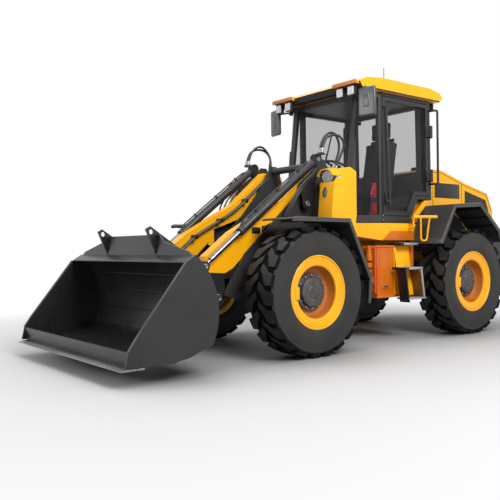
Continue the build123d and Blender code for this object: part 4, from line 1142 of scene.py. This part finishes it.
# %% Tank panels and red strip
tank_x = 0.760
strip = side_plate([(1.196, 0.520), (1.214, 0.520), (1.214, 1.086), (1.196, 1.086)], 0.752, 0.766, 0.003)
settle(strip, "tank_red_strip", red_gloss, "rear_frame")
panels = [side_plate([(1.250, 0.560), (1.450, 0.560), (1.420, 1.060), (1.262, 1.060)],
                     tank_x - 0.004, tank_x + 0.006, 0.004),
          side_plate([(1.270, 0.600), (1.400, 0.600), (1.384, 0.640), (1.284, 0.640)],
                     tank_x, tank_x + 0.022, 0.006),
          axle_block((tank_x - 0.01, 1.200, 0.492), (tank_x + 0.010, 1.850, 0.520), 0.004),
          axle_block((tank_x - 0.01, 1.206, 1.066), (tank_x + 0.009, 1.850, 1.089), 0.004),
          axle_block((tank_x - 0.01, 1.800, 0.560), (tank_x + 0.008, 1.846, 1.070), 0.004)]
settle(join(panels), "tank_panels", painted_shade_orange, "rear_frame")
badge = side_plate([(1.290, 0.612), (1.388, 0.612), (1.372, 0.622), (1.346, 0.634), (1.306, 0.628)],
                   tank_x + 0.018, tank_x + 0.0245, 0.002)
settle(badge, "tank_filler_badge", charcoal, "rear_frame")
print("tank panels:", len(panels))

# %% [markdown]
# A stack of valves stands ahead of the tank. It is a column of turned drums of several sizes on a bracket.

# %% Valve stack
DRUMS = ((0.740, 0.026, 0.030), (0.780, 0.030, 0.040), (0.840, 0.034, 0.060), (0.915, 0.038, 0.080),
         (0.985, 0.030, 0.060), (1.040, 0.024, 0.050))
stack = []
for z, radius, tall in DRUMS:
    drum = [(0.0, 0.0), (0.0, radius - 0.005), (0.005, radius), (tall - 0.008, radius),
            (tall - 0.003, radius - 0.006), (tall, radius - 0.020), (tall, 0.0)]
    stack.append(turned(drum, from_axle(0.700, 1.146, z), axis="Z", steps=28))
stack.append(axle_block((0.610, 1.162, 0.720), (0.668, 1.192, 0.960), 0.006))
stack.append(axle_block((0.600, 1.158, 0.660), (0.735, 1.188, 0.735), 0.008))
# The stack's orange is the same painted shade as the tank's.
settle(join(stack), "valve_stack", painted_shade_orange, "rear_frame")
print("drums in the stack:", len(DRUMS))

# %% [markdown]
# The deck under the cab is a yellow beam. Its upper face is plain. Its lower face leans in, and the rear
# part of it is orange as a painted reflection of the shaded tank. A dark belt with bolts closes the gap
# between the deck and the cab, and a stay with a filler behind it props the cab's rear corner.

# %% The deck's faces, the belt and the cab's stays
facet = side_plate([(1.460, 1.252), (1.885, 1.252), (1.885, 1.155), (1.330, 1.155)], 0.7515, 0.7545, 0.001)
settle(facet, "deck_shaded_facet", painted_shade_orange, "rear_frame")
ledge = side_plate([(1.440, 1.256), (1.888, 1.256), (1.888, 1.340), (1.440, 1.340)], 0.748, 0.757, 0.003)
settle(ledge, "deck_ledge", yellow, "rear_frame")
belt = side_plate([(1.412, 1.347), (1.868, 1.347), (1.900, 1.404), (1.412, 1.404)], 0.688, 0.697, 0.003)
settle(belt, "cab_belt", charcoal, "rear_frame")
bolts = bolt_heads([from_axle(0.698, y, 1.374) for y in (1.46, 1.60, 1.74, 1.86)], (1, 0, 0), 0.018, 0.008)
settle(bolts, "cab_belt_bolts", black, "rear_frame")
stay = side_plate([(1.940, 1.410), (2.030, 1.410), (2.300, 1.638), (2.200, 1.638)], 0.642, 0.682, 0.005)
settle_pair(stay, "cab_rear_stays", yellow, "rear_frame")
# The filler's brown is painted shade behind the door's cut corner.
filler = side_plate([(1.905, 1.362), (2.045, 1.636), (2.308, 1.636), (2.308, 1.362)], 0.598, 0.610, 0.002)
settle_pair(filler, "cab_rear_painted_shade_fillers", brown_painted_shade, "rear_frame")
print("deck dressed")

# %% [markdown]
# The mudguards are thick dark mouldings, and ribs stiffen the underside of each. A rib is a small plate that
# stands square to the arch, so each is placed by its share of the arch's length.

# %% Mudguard ribs
def along_path(path, share):
    """A place on a polyline of (y, z), by its share of the length, with the way the line runs there."""
    places = [Vector(point) for point in path]
    lengths = [(b - a).length for a, b in zip(places, places[1:])]
    want = share * sum(lengths)
    for a, b, length in zip(places, places[1:], lengths):
        if want <= length:
            return a + (b - a) * (want / length), (b - a).normalized()
        want -= length
    return places[-1], (places[-1] - places[-2]).normalized()


GUARD_X = (0.655, 1.085)
RIB_THICKNESS = 0.014


def arch_ribs(path, count, deep):
    """Ribs of a given depth, spread along an arch and joined."""
    ribs = []
    for k in range(count):
        place, way = along_path(path, (k + 0.7) / (count + 0.4))
        down = Vector((way.y, -way.x)) * deep
        a, b = place - way * RIB_THICKNESS / 2, place + way * RIB_THICKNESS / 2
        ribs.append(side_plate([a, b, b + down, a + down], *GUARD_X, 0.003))
    return join(ribs)


REAR_ARCH = [(1.948, 1.110), (2.227, 1.556), (2.756, 1.586), (3.172, 1.264)]
FRONT_ARCH = [(-0.340, 1.360), (0.430, 1.352), (0.742, 0.752), (0.708, 0.495)]
settle_pair(arch_ribs(REAR_ARCH, 9, 0.034), "rear_guard_ribs", plastic, "rear_frame")
settle_pair(arch_ribs(FRONT_ARCH, 5, 0.026), "front_guard_ribs", plastic, "front_frame")
print("ribs on each side:", 9 + 5)

# %% [markdown]
# The outer edge of a mudguard has a rolled lip, which is a pipe along the arch. The front ones have two
# shallow crests on top, and the front end of each rear one has a paler face, a painted highlight where the
# light falls on it.

# %% Mudguard lips, crests and end faces
LIP_X, LIP = 1.094, 0.009
REAR_LIP = [(1.936, 1.106), (2.222, 1.566), (2.758, 1.598), (3.182, 1.266), (3.236, 1.122)]
FRONT_LIP = [(-0.346, 1.356), (-0.300, 1.369), (0.434, 1.361), (0.750, 0.750), (0.714, 0.494)]
for side, outline in (("rear", REAR_LIP), ("front", FRONT_LIP)):
    lip = side_pipe(LIP_X, outline, LIP, smooth=False)
    settle_pair(lip, f"{side}_guard_lips", mirror_shell, f"{side}_frame")
CREST = [(-0.240, 1.371), (-0.210, 1.380), (0.360, 1.374), (0.400, 1.364)]
crest = join([side_plate(CREST, x, x + 0.030, 0.004) for x in (0.760, 0.960)])
settle_pair(crest, "front_guard_crests", plastic, "front_frame")
end_face = side_plate([(1.926, 1.104), (1.944, 1.104), (1.980, 1.160), (1.960, 1.166)], 0.650, 1.098, 0.003)
settle_pair(end_face, "rear_guard_painted_end_highlights", mirror_shell, "rear_frame")
print("lips ready")

# %% [markdown]
# The hood is a folded shell. Dark seams show where its panels meet, a bare dark panel sits under the
# crease, and catches hold it shut. The grille keeps its slots from the CAD.

# %% Hood seams, panels and catches
hood_x = 0.560
SEAMS = [[(2.520, 1.255), (2.520, 2.046)],
         [(2.352, 1.990), (2.430, 2.018), (2.700, 2.018), (3.215, 1.876), (3.720, 1.768), (3.840, 1.552)],
         [(3.140, 1.255), (3.140, 1.890)]]
seams = join([side_pipe(hood_x + 0.0005, seam, 0.0032, smooth=False, sides=4) for seam in SEAMS])
settle_pair(seams, "hood_seams", groove_shade_and_seam_black, "hood_lid")
panel = axle_block((hood_x + 0.002, 2.556, 1.696), (hood_x + 0.0075, 3.084, 1.884), 0.002)
inset_faces(panel, lambda middle, normal: normal.x > 0.95 and middle.x > hood_x + 0.007, 0.010, -0.002)
settle_pair(panel, "hood_bare_panels", black, "hood_lid")
catches = [axle_block((hood_x - 0.002, y, 1.330), (hood_x + 0.012, y + 0.060, 1.420), 0.005)
           for y in (2.590, 3.060)]
settle_pair(join(catches), "hood_catches", plastic, "hood_lid")
print("hood seams on each side:", len(SEAMS))

# %% [markdown]
# The exhaust's stub and the air intake's cap stand on the hood. Both are turned pieces: the stub is hollow,
# so its profile runs down the inside again.

# %% Exhaust stub and intake cap
exhaust = turned([(0.0, 0.0), (0.0, 0.070), (0.010, 0.070), (0.014, 0.050), (0.150, 0.048), (0.152, 0.041),
                  (0.020, 0.040), (0.020, 0.0)], from_axle(-0.300, 2.620, 2.050), axis="Z", steps=36)
settle(exhaust, "exhaust_stub", hub_iron, "hood_lid")
cap = turned([(0.0, 0.0), (0.0, 0.075), (0.012, 0.082), (0.050, 0.082), (0.062, 0.070), (0.066, 0.0)],
             from_axle(0.240, 2.620, 2.049), axis="Z", steps=36)
settle(cap, "air_intake_cap", plastic, "hood_lid")
print("hood dressed")

# %% [markdown]
# The counterweight is a plain casting, so a few honest details make it read as one: clear borders round the
# tail lamps, lifting eyes, a towing pin with its handle and a row of red reflectors.

# %% Counterweight and tail
tail_x = 0.820


def lamp_frame_bar(x0, x1, z0, z1):
    """One bar of the border round a tail lamp, counted from the lamp's middle."""
    return axle_block((tail_x + x0, 3.984, z0), (tail_x + x1, 4.004, z1), 0.003)


bars = [lamp_frame_bar(-0.068, 0.068, 0.972, 0.980), lamp_frame_bar(-0.068, 0.068, 1.080, 1.088),
        lamp_frame_bar(-0.068, -0.060, 0.972, 1.088), lamp_frame_bar(0.060, 0.068, 0.972, 1.088)]
settle_pair(join(bars), "tail_lamp_frames", plastic, "rear_frame")
eye = turned([(0.0, 0.022), (0.0, 0.044), (0.014, 0.048), (0.028, 0.044), (0.028, 0.022)],
             from_axle(0.560, 3.600, 1.232), axis="X", steps=28)
settle_pair(eye, "lifting_eyes", steel, "rear_frame")
pin = turned([(0.0, 0.0), (0.0, 0.024), (0.330, 0.024), (0.340, 0.034), (0.352, 0.034), (0.358, 0.0)],
             from_axle(0.0, 3.950, 0.850), axis="Z", steps=28)
pin_handle = axle_pipe([(-0.030, 3.950, 1.205), (-0.028, 3.950, 1.250), (0.028, 3.950, 1.250),
                        (0.030, 3.950, 1.205)], 0.006)
settle(join([pin, pin_handle]), "tow_pin", steel, "rear_frame")
REFLECTOR = [(4.0005, 0.700), (4.0025, 0.700), (4.0025, 0.760), (4.0005, 0.760)]
reflectors = []
for k in range(4):
    x = 0.200 + 0.110 * k
    reflectors.append(side_plate(REFLECTOR, x, x + 0.055, 0.0))
settle_pair(join(reflectors), "reflector_strips", red_gloss, "rear_frame")
print("tail dressed, reflectors on each side:", len(reflectors))

# %% [markdown]
# A working bucket is welded from rolled plate. Weld beads run where its back meets its sides, and pressed
# lines cross its floor. Both are thin pipes on the bucket's own profile.

# %% Bucket welds and pressed lines
BACK = [(-2.070, 0.163), (-1.700, 0.165), (-1.520, 0.186), (-1.380, 0.262), (-1.290, 0.400), (-1.262, 0.560),
        (-1.310, 0.740), (-1.400, 0.920), (-1.452, 1.000)]
inside_x = 1.139
settle_pair(side_pipe(inside_x, BACK, 0.008), "bucket_side_welds", bucket_black, "bucket")
lines = []
for share in (0.18, 0.34, 0.50, 0.63, 0.76, 0.88):
    place, way = along_path(BACK, share)
    lines.append(axle_pipe([(x, *place) for x in (-inside_x, 0.0, inside_x)], 0.005, smooth=False, sides=4))
settle(join(lines), "bucket_pressed_lines", bucket_black, "bucket")
print("pressed lines:", len(lines))

# %% [markdown]
# The rims of the bucket's sides are ground bright by the load. A row of bolts holds the cutting edge, and
# strips of hard steel under the floor take the wear.

# %% Bucket edges, bolts and wear strips
FRONT = [(-1.575, 0.965), (-2.035, 0.385), (-2.101, 0.290)]
side_edge = side_pipe(1.149, FRONT, 0.0095, smooth=False)
settle_pair(side_edge, "bucket_side_edges", bucket_edge_paint, "bucket")
spots = [from_axle(-1.05 + 0.175 * k, -2.000, 0.157) for k in range(13)]
settle(bolt_heads(spots, (0, 0, 1), 0.030, 0.008), "cutting_edge_bolts", edge_steel, "bucket")
WEAR = [(-1.690, 0.133), (-1.665, 0.133), (-1.420, 0.176), (-1.425, 0.186)]
wear = [side_plate(WEAR, x - 0.030, x + 0.030, 0.002) for x in (-0.90, -0.45, 0.0, 0.45, 0.90)]
settle(join(wear), "bucket_wear_strips", edge_steel, "bucket")
print("edge bolts:", len(spots), "wear strips:", len(wear))

# %% [markdown]
# Only the seat shows well through the glass, and three padded cushions make it. Each cushion starts as a
# block that is remeshed to an even mesh and blown up a little as cloth, so that it looks filled. No corner
# may move further than a small limit, which keeps the cushion clear of its frame.

# %% How a cushion is made
VOXEL = 0.012
CLOTH_FRAMES = 14
MOST_MOVE = 0.014
PRESSURE = 4.0


def puff_up(pad):
    """Blow a closed mesh up as cloth for a few frames and keep the result."""
    modifier = pad.modifiers.new("pad", "CLOTH")
    modifier.settings.use_pressure = True
    modifier.settings.uniform_pressure_force = PRESSURE
    modifier.settings.effector_weights.gravity = 0.0
    scene = bpy.context.scene
    scene.frame_start, scene.frame_end = 1, CLOTH_FRAMES
    modifier.point_cache.frame_start, modifier.point_cache.frame_end = 1, CLOTH_FRAMES
    for step in range(1, CLOTH_FRAMES + 1):
        scene.frame_set(step)
    select_only(pad)
    bpy.ops.object.modifier_apply(modifier=modifier.name)
    scene.frame_set(1)


def cushion(low, high, lean, pivot_at, name):
    """A padded block between two corners, leaned round a place: bevelled, remeshed and blown up."""
    pad = soft_block(from_axle(*low), from_axle(*high), 0.022, 3)
    use_modifier(pad, "REMESH", mode="VOXEL", voxel_size=VOXEL)
    before = [corner.co.copy() for corner in pad.data.vertices]
    puff_up(pad)
    for corner, was in zip(pad.data.vertices, before):
        moved = corner.co - was
        if moved.length > MOST_MOVE:
            corner.co = was + moved.normalized() * MOST_MOVE
    bpy.context.view_layer.update()
    hinge = from_axle(*pivot_at)
    turn = Matrix.Rotation(radians(lean), 4, "X")
    lean_back = Matrix.Translation(hinge) @ turn @ Matrix.Translation(-hinge)
    pad.data.transform(lean_back @ pad.matrix_world)
    pad.matrix_world = Matrix.Identity(4)
    return settle(pad, name, cloth, "rear_frame", crease=60.0)


print("cushion recipe ready, voxel", VOXEL)

# %% [markdown]
# The squab lies flat, the back leans and the headrest stands over it.

# %% Seat cushions
squab = cushion((-0.245, 1.550, 1.625), (0.245, 1.975, 1.725), 0.0, (0, 1.75, 1.67), "seat_squab")
back = cushion((-0.235, 2.020, 1.740), (0.235, 2.135, 2.440), -10.0, (0, 2.060, 1.740), "seat_back")
headrest = cushion((-0.145, 2.150, 2.470), (0.145, 2.225, 2.680), -2.0, (0, 2.185, 2.470), "seat_headrest")
print("cushions:", [pad.name for pad in (squab, back, headrest)])

# %% [markdown]
# Under the cushions stand a suspension box, a pan, a back frame and two armrests. In front of the seat are
# the dash with its turned column, and a side shelf carries two control sticks.

# %% Seat base, controls and the extinguisher's band
ARMREST = [(1.700, 1.860), (2.060, 1.900), (2.070, 1.945), (1.700, 1.905)]
base = [axle_block((-0.200, 1.600, 1.372), (0.200, 1.830, 1.630), 0.012, 3),
        axle_block((-0.240, 1.560, 1.604), (0.240, 1.960, 1.636), 0.010, 3),
        side_plate([(1.960, 1.640), (2.000, 1.640), (2.240, 2.470), (2.205, 2.470)], -0.190, 0.190, 0.010),
        side_plate(ARMREST, -0.310, -0.250, 0.012),
        side_plate(ARMREST, 0.250, 0.310, 0.012)]
piece = settle(join(base), "seat_base", plastic, "rear_frame")
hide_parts("seat")
dash = [axle_block((-0.200, 1.300, 1.960), (0.200, 1.350, 2.010), 0.012, 3),
        turned([(0.0, 0.0), (0.0, 0.055), (0.014, 0.060), (0.030, 0.050), (0.034, 0.0)],
               from_axle(0.0, 1.352, 2.050), axis="Z", steps=28),
        axle_block((-0.450, 1.600, 1.955), (-0.320, 1.800, 1.985), 0.012, 3)]
sticks = [side_pipe(-0.385 + dx, [(1.640, 1.975), (1.630, 2.060), (1.615, 2.120)], 0.011)
          for dx in (-0.035, 0.035)]
settle(join(dash + sticks), "cab_controls", plastic, "rear_frame")
band = turned([(0.0, 0.0605), (0.0, 0.0635), (0.070, 0.0635), (0.070, 0.0605)],
              from_axle(0.400, 1.620, 1.600), axis="Z", steps=32)
settle(band, "extinguisher_band", mirror_shell, "rear_frame")
print("seat and controls ready")

# %% [markdown]
# The floor is a stage piece, so it isn't part of the machine. It is a pale disc that keeps the machine's
# shadow near by and fades to plain white further out, where it meets the white of the world. An Ambient
# Occlusion node paints a contact shadow into its colour where the machine stands close over it.

# %% Lay the floor
FLOOR_RADIUS = 40.0
FADE_FROM, FADE_TO = 2.8, 6.0
clear_selection()
bpy.ops.mesh.primitive_circle_add(vertices=96, radius=FLOOR_RADIUS, fill_type="NGON")
floor = bpy.context.object
floor.name = "studio_floor"
floor_finish = bpy.data.materials.new("studio_floor")
floor_finish.use_nodes = True
tree = floor_finish.node_tree
shader = tree.nodes["Principled BSDF"]
shader.inputs["Roughness"].default_value = 0.6
near = tree.nodes.new("ShaderNodeAmbientOcclusion")
near.samples = 8
near.inputs["Distance"].default_value = 1.1
openness = ramp(tree, near.outputs["AO"], 0.0, 1.0, 0.30, 0.95)
shade = mixed_colour(tree, openness, (0.13, 0.13, 0.13), (0.52, 0.52, 0.525))
tree.links.new(shade, shader.inputs["Base Color"])
coords = tree.nodes.new("ShaderNodeTexCoord")
reach = tree.nodes.new("ShaderNodeVectorMath")
reach.operation = "LENGTH"
tree.links.new(coords.outputs["Object"], reach.inputs[0])
fade = ramp(tree, reach.outputs["Value"], 0.0, 1.0, FADE_FROM, FADE_TO)
glow = tree.nodes.new("ShaderNodeEmission")
glow.inputs["Strength"].default_value = 1.0
mix = tree.nodes.new("ShaderNodeMixShader")
tree.links.new(fade, mix.inputs[0])
tree.links.new(shader.outputs[0], mix.inputs[1])
tree.links.new(glow.outputs[0], mix.inputs[2])
tree.links.new(mix.outputs[0], tree.nodes["Material Output"].inputs["Surface"])
floor.data.materials.append(floor_finish)
print("floor radius", FLOOR_RADIUS)
